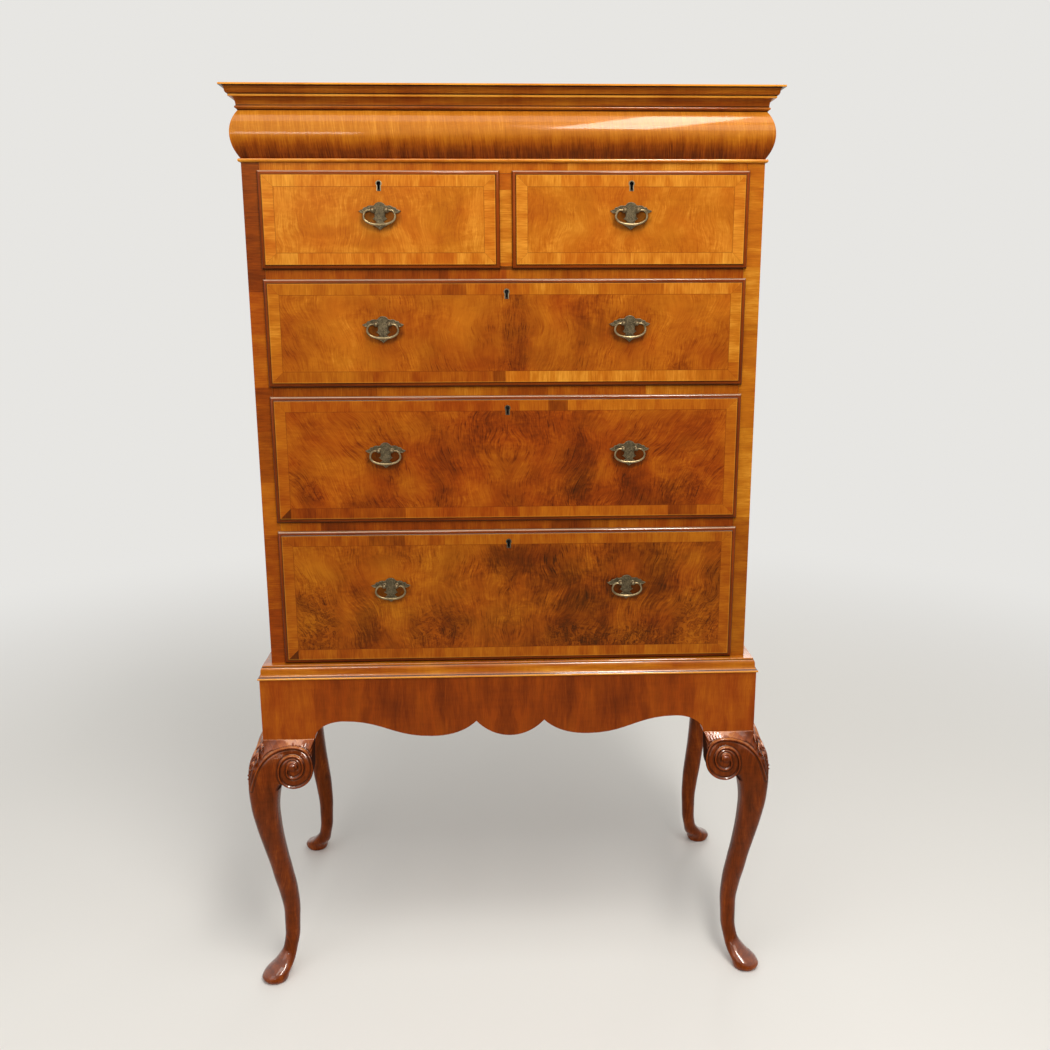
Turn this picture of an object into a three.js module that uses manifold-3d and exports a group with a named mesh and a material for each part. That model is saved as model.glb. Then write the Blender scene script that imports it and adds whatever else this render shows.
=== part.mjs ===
// Walnut chest on stand: two short drawers over three long ones, on cabriole legs with scroll ears.
// Millimetres, +Z up, +Y towards the back. The origin is on the floor under the middle of the stand.

import * as THREE from 'three';
import { mergeVertices } from 'three/addons/utils/BufferGeometryUtils.js';
import Module from 'manifold-3d';

const wasm = await Module();
wasm.setup();

// Fits and cutting
const seam = 0.3; // glue line, or the play of a piece that rests on another
const overrun = 3; // how far a cut runs past the wood that it goes through
const turnedSides = 8; // sides of a small round piece or hole
const curveSteps = 4; // steps in a quarter of a small moulding or in a short curve
const runningPlay = 1; // play of a drawer to each side and above

// Upper case
const caseWidth = 860;
const caseDepth = 460;
const sideThickness = 20;
const topThickness = 20;
const backThickness = 12;
const stileShow = 25; // front edge of a side that stays in view beside the drawers
const stileDepth = 24;
const railShow = 16; // rail in view between two drawers
const topRailShow = 12;
const sillShow = 1; // gap between the waist moulding and the lowest drawer
const muntinShow = 20; // upright in view between the two short drawers
const railDepth = 70;
const runnerWidth = 60;
const centreRunnerWidth = 80;
const rearRailDepth = 40;
const dustRecess = 8; // how far the thin dust board lies below and above its frame
const guideHeight = 20;
const kickerWidth = 50;
const kickerHeight = 20;

// Drawers, from the lowest up; each height is measured over the lips
const longDrawerHeights = [243, 220, 179];
const shortDrawerHeight = 157;
const lipOverlap = 4; // how far a lip covers the wood round its opening
const lipWidth = 8; // moulded border of a drawer front
const lipEdge = 3; // square outer edge under the ovolo
const lipStep = 1.6; // small step between the ovolo and the veneered face
const facePride = 9; // veneered face in front of the case
const frontBody = 14; // drawer front behind the lip
const drawerSideThickness = 12;
const drawerBottomThickness = 7;
const drawerBottomRise = 10;
const drawerBackDrop = 14;
const drawerRearPlay = 20; // from the back of a drawer box to the back of the case
const tailReach = 8;
const tailPitch = 44;
const tailWidth = 26;
const tailNarrow = 4; // a dovetail's waist is narrower by this on each edge

// Locks
const lockWidth = 64;
const lockHeight = 42;
const lockDepth = 12;
const lockBackWall = 2;
const boltWidth = 32;
const boltThickness = 6;
const boltHeight = 12;
const boltSetback = 3; // wood-side wall of the lock in front of the bolt
const mortiseDepth = 10;
const mortisePlay = 1;
const keyDrop = 21; // keyhole's round end below the top of the lip
const keyRadius = 3.2;
const keySlotHalf = 1.8;
const keySlotDrop = 10;
const linerWall = 1.7; // brass round the keyhole
const linerPride = 0.4;

// Handles
const handleOffsets = [210, 211, 208, 207]; // from the middle of the chest, lowest row first
const handleHeightShares = [0.597, 0.58, 0.587, 0.595]; // of the drawer's height, lowest row first
const plateHalfWidth = 35;
const plateRise = 13.3; // top of the plate above the pivots
const plateDrop = 31; // foot of the plate below the pivots
const plateThickness = 1.8;
const pivotOffset = 11; // from the middle of a handle to each post
const pivotStandoff = 7.5; // from the plate to the bail's axis
const postRadius = 3.9;
const postCollarRadius = 4.4;
const postNeckRadius = 2.6;
const shankRadius = 2.4;
const nutHalf = 5;
const nutThickness = 3;
const bailHalfWidth = 25.8;
const bailDrop = 23;
const bailEndRadius = 1.3;
const bailMiddleRadius = 1.9;
const pivotPlay = 0.35;
const pinReach = 3; // how far a bail's end reaches past the middle of its post
// Right half of the bat-wing plate from its crown down to its foot: [across, up, across, up] pairs of a
// curve's control point and end, as shares of the half width and of the rise or drop
const plateCurveShares = [
  [0.13, 0.99, 0.21, 0.8],
  [0.25, 0.57, 0.36, 0.58],
  [0.53, 0.69, 0.63, 0.39],
  [0.76, 0.45, 0.79, 0.15],
  [0.9, 0.05, 1, -0.02],
  [0.87, -0.16, 0.75, -0.15],
  [0.63, -0.13, 0.58, -0.05],
  [0.39, -0.03, 0.27, -0.1],
  [0.24, -0.2, 0.25, -0.3],
  [0.27, -0.39, 0.35, -0.42],
  [0.21, -0.5, 0.16, -0.6],
  [0.29, -0.64, 0.34, -0.77],
  [0.18, -0.81, 0, -1],
];
// The bail hangs from its two pins: [across, up] of its right half, as shares of half width and drop
const bailShares = [
  [0.6, 0], [0.77, -0.01], [0.92, -0.15], [1, -0.4], [0.95, -0.63], [0.75, -0.83], [0.4, -0.965],
];
const bailSteps = 26;
const bailSides = 6;
const plateCurveSteps = 2;

// Cornice, cushion frieze and neck bead
const neckHeight = 6.5;
const neckProjection = 4.5;
const cushionHeight = 73.5;
const cushionProjection = 13;
const cushionSteps = 12;
const corniceHeight = 38;
const corniceProjection = 24;
const astragalRadius = 2;
// Points of the cornice, as shares of its projection and height
const astragalShares = [0.1, 0.12];
const coveFootShares = [0.1, 0.21];
const coveHeadShares = [0.35, 0.52];
const filletShares = [0.5, 0.61];
const cymaHeadShares = [0.85, 0.92];

// Stand
const legHeight = 490; // floor to the underside of the frieze
const friezeHeight = 114;
const friezeOverhang = 20; // frieze in front of the case and beside it
const apronThickness = 28;
const postSize = 44;
const waistHeight = 26;
const waistProjection = 23;
const waistBead = 4.4;
const waistNeck = 20.6; // projection over the bead, where the ogee starts
const waistFillet = 3;
const waistFilletProjection = 14.5;
const backRailHeight = 84;
const apronCurveSteps = 10;
const archRise = 32.5; // crown of an arch above the foot of the frieze
const cuspRise = 29;
const lowRise = 1; // lobes that hang almost to the foot of the frieze
const cuspOffset = 62;
const lobeOffset = 143;
const archOffset = 304;
const blockInset = 94; // flat foot of the frieze over each leg
const easingShare = 0.45; // how gently the foot of the frieze runs from arch to lobe
const lobeShare = 0.65; // how full the outer lobes are beside a cusp
const middleShare = 0.72; // how full the middle lobe is

// Cabriole legs
const kneeProjection = 29;
const kneeThickness = 50;
const legHeightShares = [
  0, 0.016, 0.035, 0.061, 0.106, 0.169, 0.247, 0.341, 0.41, 0.476, 0.543, 0.653, 0.745, 0.822, 0.884, 0.939,
  0.98, 1,
];
const legOuterShares = [
  0.83, 1, 0.83, 0.24, -0.31, -0.46, -0.46, -0.27, -0.05, 0.12, 0.345, 0.71, 0.93, 1, 0.9, 0.48, 0.17, 0,
]; // of the knee's projection
const legThicknessShares = [
  0.86, 1.01, 0.98, 0.76, 0.54, 0.56, 0.6, 0.69, 0.74, 0.74, 0.78, 0.89, 1, 1.18, 1.57, 1.71, 1.6, 1.46,
]; // of the knee's thickness
const legRoundness = [2.2, 2.3, 2.3, 2.2, 2.1, 2.1, 2.2, 2.3, 2.5, 2.6, 2.8, 3.2, 3.6, 4, 5, 8, 14, 24];
const legSides = 20;

// Scroll ears of the knees
const earInset = 54.8; // eye of the scroll, inward from the corner of the frieze
const earDrop = 45.6; // eye of the scroll below the frieze
const earBlock = 85; // length of the ear along the underside of the frieze
const earRadius = 34.5;
const earRadiusShares = [1, 1.045, 1.1, 0.71, 0.57, 0.56, 0.565, 0.27, 0.255, 0.2]; // at each quarter turn
const earDepth = 36; // from the front of the knee to the back of the ear
const earLip = 0.5; // square edge round the scroll's face
const earFaceDrops = [0, 19, 30, 43, 57, 75, 95, 120]; // below the frieze
const earFaceShares = [0.49, 0.547, 0.72, 0.89, 0.97, 1, 0.94, 0.8]; // of the ear's greatest projection
const earProjection = 26.5;
const rimWidth = 69; // arc that carries the scroll's rim out to the knee's corner
const rimRise = 62;
const rimStartAngle = 0.12;
const beadRadius = 2.1;
const beadSides = 5;
const eyeRadius = 7;
const eyeSides = 10;
const eyeShare = 0.6; // height of the eye, of its radius
const rimSteps = 8;
const quarterSteps = 4; // for a quarter of a turn
const earOutlineSteps = 9; // from the top of the scroll to where its underside meets the knee

// Places worked out from the sizes above
const caseHalfWidth = caseWidth / 2;
const standHalfWidth = caseHalfWidth + friezeOverhang;
const standHalfDepth = (caseDepth + friezeOverhang) / 2;
const caseFront = friezeOverhang - standHalfDepth;
const caseBack = standHalfDepth;
const standTop = legHeight + friezeHeight;
const waistTop = standTop + waistHeight;
const lipHalfWidth = caseHalfWidth - stileShow;
const openingHalfWidth = lipHalfWidth - lipOverlap;
const stileWidth = stileShow + lipOverlap;
const innerHalfWidth = caseHalfWidth - sideThickness;
const backFront = caseBack - backThickness;
const drawerDepth = backFront - caseFront - drawerRearPlay;
const longLipBottoms = [];
let nextLip = waistTop + sillShow;
for (const height of longDrawerHeights) {
  longLipBottoms.push(nextLip);
  nextLip += height + railShow;
}
const shortLipBottom = nextLip;
const shortLipTop = shortLipBottom + shortDrawerHeight;
const caseFaceTop = shortLipTop + topRailShow;
const cushionBottom = caseFaceTop + neckHeight;
const corniceBottom = cushionBottom + cushionHeight;
const caseTop = corniceBottom + corniceHeight;
const sideTop = caseTop - topThickness - seam;
const shortLipHalfWidth = (lipHalfWidth - muntinShow / 2) / 2;
const shortDrawerOffset = muntinShow / 2 + shortLipHalfWidth;
const muntinHalf = muntinShow / 2 + lipOverlap;

// Materials
function finish(color, roughness, metalness = 0) {
  return new THREE.MeshStandardMaterial({ color, roughness, metalness });
}
const walnutVeneer = finish(0xb5651d, 0.28);
const walnutSolid = finish(0x7a3314, 0.3);
const walnutCross = finish(0xa4551c, 0.3);
const drawerLining = finish(0xb99a6b, 0.7);
const caseLining = finish(0x8d6a45, 0.8);
const brassPlate = finish(0x6f6446, 0.45, 1);
const brassBail = finish(0xa08c5c, 0.35, 1);
const brassLock = finish(0xb39a5c, 0.4, 1);
const steelBolt = finish(0x77736b, 0.45, 1);

// Solids

// Volume inside a triangle mesh, negative where its faces point inward
function signedVolume(points, triangles) {
  const a = new THREE.Vector3();
  const b = new THREE.Vector3();
  const c = new THREE.Vector3();
  let sum = 0;
  for (let i = 0; i < triangles.length; i += 3) {
    a.fromArray(points, triangles[i] * 3);
    b.fromArray(points, triangles[i + 1] * 3);
    c.fromArray(points, triangles[i + 2] * 3);
    sum += a.dot(b.cross(c));
  }
  return sum / 6;
}

// A closed geometry as a solid; place maps each point, and may mirror it
function solid(geometry, place = (x, y, z) => [x, y, z]) {
  const bare = geometry.clone();
  bare.deleteAttribute('normal');
  bare.deleteAttribute('uv');
  const welded = mergeVertices(bare);
  const source = welded.attributes.position;
  const vertProperties = new Float32Array(source.count * 3);
  for (let i = 0; i < source.count; i++) {
    vertProperties.set(place(source.getX(i), source.getY(i), source.getZ(i)), i * 3);
  }
  const kept = [];
  for (let i = 0; i < welded.index.count; i += 3) {
    const [a, b, c] = [0, 1, 2].map((corner) => welded.index.getX(i + corner));
    if (a !== b && b !== c && c !== a) {
      kept.push(a, b, c);
    }
  }
  if (signedVolume(vertProperties, kept) < 0) {
    kept.reverse();
  }
  return new wasm.Manifold(new wasm.Mesh({ numProp: 3, vertProperties, triVerts: Uint32Array.from(kept) }));
}

function join(first, ...others) {
  return others.reduce((whole, next) => whole.add(next), first);
}

function cut(whole, ...tools) {
  return tools.reduce((rest, tool) => rest.subtract(tool), whole);
}

// A board between two corners
function board([x0, x1], [y0, y1], [z0, z1]) {
  const box = new THREE.BoxGeometry(x1 - x0, y1 - y0, z1 - z0);
  return solid(box, (x, y, z) => [x + (x0 + x1) / 2, y + (y0 + y1) / 2, z + (z0 + z1) / 2]);
}

// An outline pushed from one depth to another; place turns (across, up, depth) into the piece's axes
function prism(shape, from, to, place, curveSegments = curveSteps) {
  const settings = { depth: to - from, bevelEnabled: false, curveSegments };
  const geometry = new THREE.ExtrudeGeometry(shape, settings);
  return solid(geometry, (across, up, depth) => place(across, up, depth + from));
}
const facingFront = (across, up, depth) => [across, depth, up];
const facingSide = (across, up, depth) => [depth, across, up];

function shapeOf(points) {
  return new THREE.Shape(points.map(([across, up]) => new THREE.Vector2(across, up)));
}

// Triangles that close one end ring of a loft, facing along the ring's own normal
function capTriangles(ring) {
  const normal = new THREE.Vector3();
  ring.forEach((point, i) => {
    const next = ring[(i + 1) % ring.length];
    normal.x += (point[1] - next[1]) * (point[2] + next[2]);
    normal.y += (point[2] - next[2]) * (point[0] + next[0]);
    normal.z += (point[0] - next[0]) * (point[1] + next[1]);
  });
  const parts = normal.toArray();
  const main = parts.map(Math.abs).indexOf(Math.max(...parts.map(Math.abs)));
  const flat = ring.map((point) => new THREE.Vector2(point[(main + 1) % 3], point[(main + 2) % 3]));
  const triangles = THREE.ShapeUtils.triangulateShape(flat, []);
  return parts[main] > 0 ? triangles : triangles.map((triangle) => triangle.toReversed());
}

// A closed skin over rings of equal length, with both end rings capped
function loft(rings) {
  const count = rings[0].length;
  const index = [];
  for (let r = 0; r + 1 < rings.length; r++) {
    for (let i = 0; i < count; i++) {
      const low = r * count + i;
      const lowNext = r * count + ((i + 1) % count);
      index.push(low, lowNext, lowNext + count, low, lowNext + count, low + count);
    }
  }
  const last = (rings.length - 1) * count;
  for (const triangle of capTriangles(rings[0])) {
    index.push(...triangle.toReversed());
  }
  for (const triangle of capTriangles(rings.at(-1))) {
    index.push(...triangle.map((corner) => corner + last));
  }
  const geometry = new THREE.BufferGeometry();
  geometry.setAttribute('position', new THREE.Float32BufferAttribute(rings.flat(2), 3));
  geometry.setIndex(index);
  return geometry;
}

// A round bar along a path of [across, up] points; its depth is given for each height and its radius for
// each share of the path
function bar(path, depthAt, radiusAt, sides) {
  return loft(path.map(([across, up], i) => {
    const [a0, u0] = path[Math.max(i - 1, 0)];
    const [a1, u1] = path[Math.min(i + 1, path.length - 1)];
    const length = Math.hypot(a1 - a0, u1 - u0);
    const radius = radiusAt(i / (path.length - 1));
    return Array.from({ length: sides }, (_, k) => {
      const angle = (k / sides) * Math.PI * 2;
      const outward = Math.cos(angle) * radius;
      return [
        across + (outward * (u1 - u0)) / length,
        up - (outward * (a1 - a0)) / length,
        depthAt(up) + Math.sin(angle) * radius,
      ];
    });
  }));
}

// A moulding mitred round the front and both sides of the case; its profile is [projection, height]
function mitredMoulding(profile) {
  const stations = [[-1, caseBack, 0], [-1, caseFront, 1], [1, caseFront, 1], [1, caseBack, 0]];
  return solid(loft(stations.map(([side, depth, mitre]) => profile.map(([projection, height]) => [
    side * (caseHalfWidth + projection),
    depth - mitre * projection,
    height,
  ]))));
}

// Points of an arc between two angles, both ends included
function arc(centre, radii, from, to, steps) {
  return Array.from({ length: steps + 1 }, (_, i) => {
    const angle = from + ((to - from) * i) / steps;
    return [centre[0] + radii[0] * Math.cos(angle), centre[1] + radii[1] * Math.sin(angle)];
  });
}

// Scene graph helpers
const chest = new THREE.Group();

function piece(name, shape, material, parent = chest) {
  const { vertProperties, triVerts, numProp } = shape.getMesh();
  const geometry = new THREE.BufferGeometry();
  const position = new Float32Array((vertProperties.length / numProp) * 3);
  for (let i = 0; i < position.length / 3; i++) {
    position.set(vertProperties.subarray(i * numProp, i * numProp + 3), i * 3);
  }
  geometry.setAttribute('position', new THREE.BufferAttribute(position, 3));
  geometry.setIndex(new THREE.BufferAttribute(triVerts, 1));
  geometry.computeVertexNormals();
  const mesh = new THREE.Mesh(geometry, material.clone());
  mesh.name = name;
  parent.add(mesh);
}

function groupAt(x, y, z, parent = chest) {
  const group = new THREE.Group();
  group.position.set(x, y, z);
  parent.add(group);
  return group;
}

// Cabriole legs

// A leg's cross section: a square with rounded corners, its corner pointing out of the stand
function legRing(station) {
  const outer = legOuterShares[station] * kneeProjection;
  const half = (legThicknessShares[station] * kneeThickness) / 2;
  const power = 2 / legRoundness[station];
  const height = legHeightShares[station] * (legHeight - seam);
  return Array.from({ length: legSides }, (_, i) => {
    const angle = ((i + 0.5) / legSides) * Math.PI * 2;
    const [c, s] = [Math.cos(angle), Math.sin(angle)];
    return [
      outer - half + half * Math.sign(c) * Math.abs(c) ** power,
      outer - half + half * Math.sign(s) * Math.abs(s) ** power,
      height,
    ];
  });
}

// How far the face of a knee stands in front of the frieze at a height
function kneeFace(up) {
  const drop = legHeight - up;
  const next = Math.max(earFaceDrops.findIndex((value) => value > drop), 1);
  const [from, to] = [earFaceDrops[next - 1], earFaceDrops[next]];
  const share = (drop - from) / (to - from);
  return earProjection * (earFaceShares[next - 1] * (1 - share) + earFaceShares[next] * share);
}

// The scroll's rim from the knee's corner over the top, then its spiral in to the eye
const eyeHeight = legHeight - earDrop;
const rimPath = arc(
  [-earInset, eyeHeight + earRadius - rimRise], [rimWidth, rimRise], rimStartAngle, Math.PI / 2, rimSteps,
);
const spiralPath = new THREE.SplineCurve(
  earRadiusShares.map((share, quarter) => new THREE.Vector2(quarter, share)),
).getPoints((earRadiusShares.length - 1) * quarterSteps).slice(1).map(({ x: quarter, y: share }) => [
  -earInset - share * earRadius * Math.sin((quarter * Math.PI) / 2),
  eyeHeight + share * earRadius * Math.cos((quarter * Math.PI) / 2),
]);

// The ear's outline where it meets the underside of the frieze: the scroll's upper half squared out
function earBackOutline(front) {
  const top = legHeight - seam;
  const quarter = rimPath.length + quarterSteps;
  const reach = front[quarter - 1][0];
  return front.map(([across, up], i) => {
    if (i < rimPath.length) {
      return [-earInset * (i / (rimPath.length - 1)), top];
    }
    if (i >= quarter) {
      return [across, up];
    }
    const share = (2 * (i - rimPath.length + 1)) / quarterSteps;
    const along = Math.min(share, 1);
    const down = Math.max(share - 1, 0);
    return [
      -earInset - (earBlock - earInset) * along + (reach + earBlock) * down,
      top - (top - eyeHeight) * down,
    ];
  });
}

function ear(place, carved) {
  const front = [...rimPath, ...spiralPath.slice(0, earOutlineSteps)];
  const back = earBackOutline(front);
  const limit = earProjection + overrun;
  const block = solid(loft([
    back.map(([across, up]) => [across, up, earProjection - earDepth]),
    back.map(([across, up]) => [across, up, 0]),
    front.map(([across, up]) => [across, up, kneeFace(up) - earLip]),
    front.map(([across, up]) => [across, up, limit]),
  ]), place);
  const faces = earFaceDrops.map((drop, i) => [earFaceShares[i] * earProjection, legHeight - drop]);
  const profile = shapeOf([
    [-limit - overrun, legHeight + overrun], [faces[0][0], legHeight + overrun], ...faces,
    [-limit - overrun, faces.at(-1)[1]],
  ]);
  const face = prism(profile, -earInset - earRadius * 2, rimWidth, (depth, up, across) => {
    return place(across, up, depth);
  });
  const body = block.intersect(face);
  if (!carved) {
    return body;
  }
  const bead = solid(bar([...rimPath, ...spiralPath], kneeFace, () => beadRadius, beadSides), place);
  const eye = solid(new THREE.SphereGeometry(eyeRadius, eyeSides, curveSteps), (x, y, z) => {
    return place(x - earInset, y + eyeHeight, kneeFace(eyeHeight) + z * eyeShare);
  });
  return join(body, bead, eye);
}

// side is -1 on the left and 1 on the right, end is -1 at the front and 1 at the back
function leg(side, end) {
  const corner = (across, depth, up) => [
    side * (standHalfWidth + across), end * (standHalfDepth + depth), up,
  ];
  const stem = solid(loft(legHeightShares.map((_, station) => legRing(station))), corner);
  const postOuter = apronThickness + seam;
  const post = solid(new THREE.BoxGeometry(postSize, postSize, friezeHeight + postSize), (x, y, z) => corner(
    x - postOuter - postSize / 2,
    y - postOuter - postSize / 2,
    z + standTop - (friezeHeight + postSize) / 2,
  ));
  const sideEar = ear((across, up, depth) => corner(depth, across, up), end < 0);
  if (end > 0) {
    return join(stem, post, sideEar);
  }
  return join(stem, post, sideEar, ear((across, up, depth) => corner(across, depth, up), true));
}

// Stand
const stand = new THREE.Group();
chest.add(stand);
for (const [name, side, end] of [
  ['leg_front_left', -1, -1],
  ['leg_front_right', 1, -1],
  ['leg_rear_left', -1, 1],
  ['leg_rear_right', 1, 1],
]) {
  piece(name, leg(side, end), walnutSolid, stand);
}

// The shaped foot of the front frieze, right half, from the middle outwards
function frontApronShape() {
  const foot = legHeight;
  const shape = new THREE.Shape();
  const blockEdge = standHalfWidth - blockInset;
  shape.moveTo(-standHalfWidth, standTop);
  shape.lineTo(-standHalfWidth, foot);
  shape.lineTo(-blockEdge, foot);
  shape.absellipse(-archOffset, foot, blockEdge - archOffset, archRise, Math.PI, Math.PI / 2, true);
  const easing = (archOffset - lobeOffset) * easingShare;
  const lobe = (lobeOffset - cuspOffset) * lobeShare;
  const middle = cuspOffset * middleShare;
  shape.bezierCurveTo(-archOffset + easing, foot + archRise, -lobeOffset - easing, foot + lowRise,
    -lobeOffset, foot + lowRise);
  shape.quadraticCurveTo(-lobeOffset + lobe, foot + lowRise, -cuspOffset, foot + cuspRise);
  shape.bezierCurveTo(-middle, foot + cuspRise / 3, -middle / 2, foot, 0, foot);
  shape.bezierCurveTo(middle / 2, foot, middle, foot + cuspRise / 3, cuspOffset, foot + cuspRise);
  shape.quadraticCurveTo(lobeOffset - lobe, foot + lowRise, lobeOffset, foot + lowRise);
  shape.bezierCurveTo(lobeOffset + easing, foot + lowRise, archOffset - easing, foot + archRise,
    archOffset, foot + archRise);
  shape.absellipse(archOffset, foot, blockEdge - archOffset, archRise, Math.PI / 2, 0, true);
  shape.lineTo(standHalfWidth, foot);
  shape.lineTo(standHalfWidth, standTop);
  return shape;
}
piece(
  'front_apron',
  prism(frontApronShape(), -standHalfDepth, apronThickness - standHalfDepth, facingFront, apronCurveSteps),
  walnutVeneer,
  stand,
);

// A plain arch between the two legs of a side
function sideApronShape() {
  const front = apronThickness - standHalfDepth + seam;
  const arch = standHalfDepth - blockInset;
  const quarter = standHalfWidth - blockInset - archOffset;
  const shape = new THREE.Shape();
  shape.moveTo(front, standTop);
  shape.lineTo(front, legHeight);
  shape.lineTo(-arch, legHeight);
  shape.absellipse(quarter - arch, legHeight, quarter, archRise, Math.PI, Math.PI / 2, true);
  shape.absellipse(arch - quarter, legHeight, quarter, archRise, Math.PI / 2, 0, true);
  shape.lineTo(standHalfDepth, legHeight);
  shape.lineTo(standHalfDepth, standTop);
  return shape;
}

for (const [name, outer] of [['side_apron_left', -standHalfWidth], ['side_apron_right', standHalfWidth]]) {
  const inner = outer - Math.sign(outer) * apronThickness;
  const arch = prism(sideApronShape(), Math.min(outer, inner), Math.max(outer, inner), facingSide);
  piece(name, arch, walnutVeneer, stand);
}
const backRailHalf = standHalfWidth - apronThickness - seam;
piece(
  'stand_back_rail',
  board(
    [-backRailHalf, backRailHalf],
    [caseBack - apronThickness, caseBack],
    [standTop - backRailHeight, standTop],
  ),
  caseLining,
  stand,
);

// The moulding on top of the stand: bead, ogee and fillet round the foot of the case
const waistFoot = standTop + seam;
const waistOgee = waistTop - waistFillet - waistFoot - waistBead - seam;
piece('waist_moulding', mitredMoulding([
  [seam, waistFoot],
  ...arc(
    [waistProjection - waistBead / 2, waistFoot + waistBead / 2], [waistBead / 2, waistBead / 2],
    -Math.PI / 2, Math.PI / 2, curveSteps,
  ),
  [waistNeck, waistFoot + waistBead + seam],
  ...arc(
    [waistNeck, waistFoot + waistBead + seam + waistOgee / 2],
    [(waistNeck - waistFilletProjection) / 2, waistOgee / 2], -Math.PI / 2, -Math.PI, curveSteps - 1,
  ).slice(1),
  ...arc(
    [waistFilletProjection, waistFoot + waistBead + seam + waistOgee / 2],
    [(waistNeck - waistFilletProjection) / 2, waistOgee / 2], 0, Math.PI / 2, curveSteps - 1,
  ).slice(1),
  [waistFilletProjection, waistTop],
  [seam, waistTop],
]), walnutSolid, stand);

// Upper case
const upperCase = new THREE.Group();
chest.add(upperCase);

// A side board with its front stile and a guide strip over each drawer runner
const runnerTops = [...longLipBottoms, shortLipBottom].map((bottom) => bottom + lipOverlap);
const shortRunnerTop = runnerTops.at(-1);
function caseSide(side) {
  const span = (inner, outer) => [side * inner, side * outer].sort((a, b) => a - b);
  const upright = [standTop + seam, sideTop];
  const whole = board(span(innerHalfWidth, caseHalfWidth), [caseFront, caseBack], upright);
  const stile = board(
    span(caseHalfWidth - stileWidth, caseHalfWidth), [caseFront, caseFront + stileDepth], upright,
  );
  const guides = runnerTops.map((height) => board(
    span(openingHalfWidth, caseHalfWidth - sideThickness / 2),
    [caseFront + stileDepth / 2, backFront - seam],
    [height + seam, height + seam + guideHeight],
  ));
  return join(whole, stile, ...guides);
}
piece('case_side_left', caseSide(-1), walnutVeneer, upperCase);
piece('case_side_right', caseSide(1), walnutVeneer, upperCase);
piece(
  'top_board',
  board([-caseHalfWidth, caseHalfWidth], [caseFront, caseBack], [caseTop - topThickness, caseTop]),
  walnutSolid,
  upperCase,
);
piece(
  'back_panel',
  board([seam - innerHalfWidth, innerHalfWidth - seam], [backFront, caseBack], [standTop + seam, sideTop]),
  caseLining,
  upperCase,
);

// Mortise for a lock's bolt, up into the underside of the rail above its drawer
const boltFront = caseFront + frontBody - lockDepth + boltSetback;
function boltMortise(x, underside) {
  return board(
    [x - boltWidth / 2 - mortisePlay, x + boltWidth / 2 + mortisePlay],
    [boltFront - mortisePlay, boltFront + boltThickness + mortisePlay],
    [underside - overrun, underside + mortiseDepth],
  );
}

// A frame of rail, runners and thin dust board that carries the drawers above it
function shelf(bottom, top, boltPlaces, centreRunner) {
  const rail = board(
    [seam - openingHalfWidth, openingHalfWidth - seam], [caseFront, caseFront + railDepth], [bottom, top],
  );
  const frame = board(
    [seam - innerHalfWidth, innerHalfWidth - seam],
    [caseFront + stileDepth + seam, backFront - seam],
    [bottom, top],
  );
  const inner = openingHalfWidth - runnerWidth;
  const bays = centreRunner
    ? [[-inner, -centreRunnerWidth / 2], [centreRunnerWidth / 2, inner]]
    : [[-inner, inner]];
  const depths = [caseFront + railDepth, backFront - rearRailDepth];
  const recesses = bays.flatMap((bay) => [
    board(bay, depths, [top - dustRecess, top + overrun]),
    board(bay, depths, [bottom - overrun, bottom + dustRecess]),
  ]);
  return cut(join(rail, frame), ...recesses, ...boltPlaces.map((x) => boltMortise(x, bottom)));
}
piece('bottom_board', shelf(standTop + seam, runnerTops[0], [], false), walnutCross, upperCase);
const dividerNames = ['divider_low', 'divider_middle', 'divider_high'];
dividerNames.forEach((name, i) => {
  const underside = longLipBottoms[i] + longDrawerHeights[i] - lipOverlap;
  piece(name, shelf(underside, runnerTops[i + 1], [0], name === 'divider_high'), walnutCross, upperCase);
});

// The upright between the short drawers, with the guide strip behind it
piece('muntin', join(
  board(
    [-muntinHalf, muntinHalf], [caseFront, caseFront + stileDepth],
    [shortRunnerTop + seam, shortLipTop - lipOverlap - seam],
  ),
  board(
    [-muntinHalf, muntinHalf], [caseFront + stileDepth / 2, backFront - seam],
    [shortRunnerTop + seam, shortRunnerTop + seam + guideHeight],
  ),
), walnutCross, upperCase);

// The rail over the short drawers, closed up behind the frieze, with its three kickers
const topRailBottom = shortLipTop - lipOverlap;
const kickerOffset = openingHalfWidth - kickerWidth / 2 - seam;
piece('top_rail', cut(
  join(
    board(
      [seam - openingHalfWidth, openingHalfWidth - seam], [caseFront, caseFront + stileDepth],
      [topRailBottom, sideTop],
    ),
    ...[-kickerOffset, 0, kickerOffset].map((x) => board(
      [x - kickerWidth / 2, x + kickerWidth / 2],
      [caseFront + stileDepth / 2, backFront - seam],
      [topRailBottom, topRailBottom + kickerHeight],
    )),
  ),
  boltMortise(-shortDrawerOffset, topRailBottom),
  boltMortise(shortDrawerOffset, topRailBottom),
), walnutCross, upperCase);

// The bead under the frieze
const neckFoot = caseFaceTop + seam;
piece('neck_bead', mitredMoulding([
  [seam, neckFoot],
  [neckProjection / 3, neckFoot],
  ...arc([neckProjection / 2, (neckFoot + cushionBottom) / 2],
    [neckProjection / 2, (cushionBottom - neckFoot) / 2 - seam], -Math.PI / 2, Math.PI / 2, curveSteps),
  [neckProjection / 3, cushionBottom],
  [seam, cushionBottom],
]), walnutSolid, upperCase);

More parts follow.
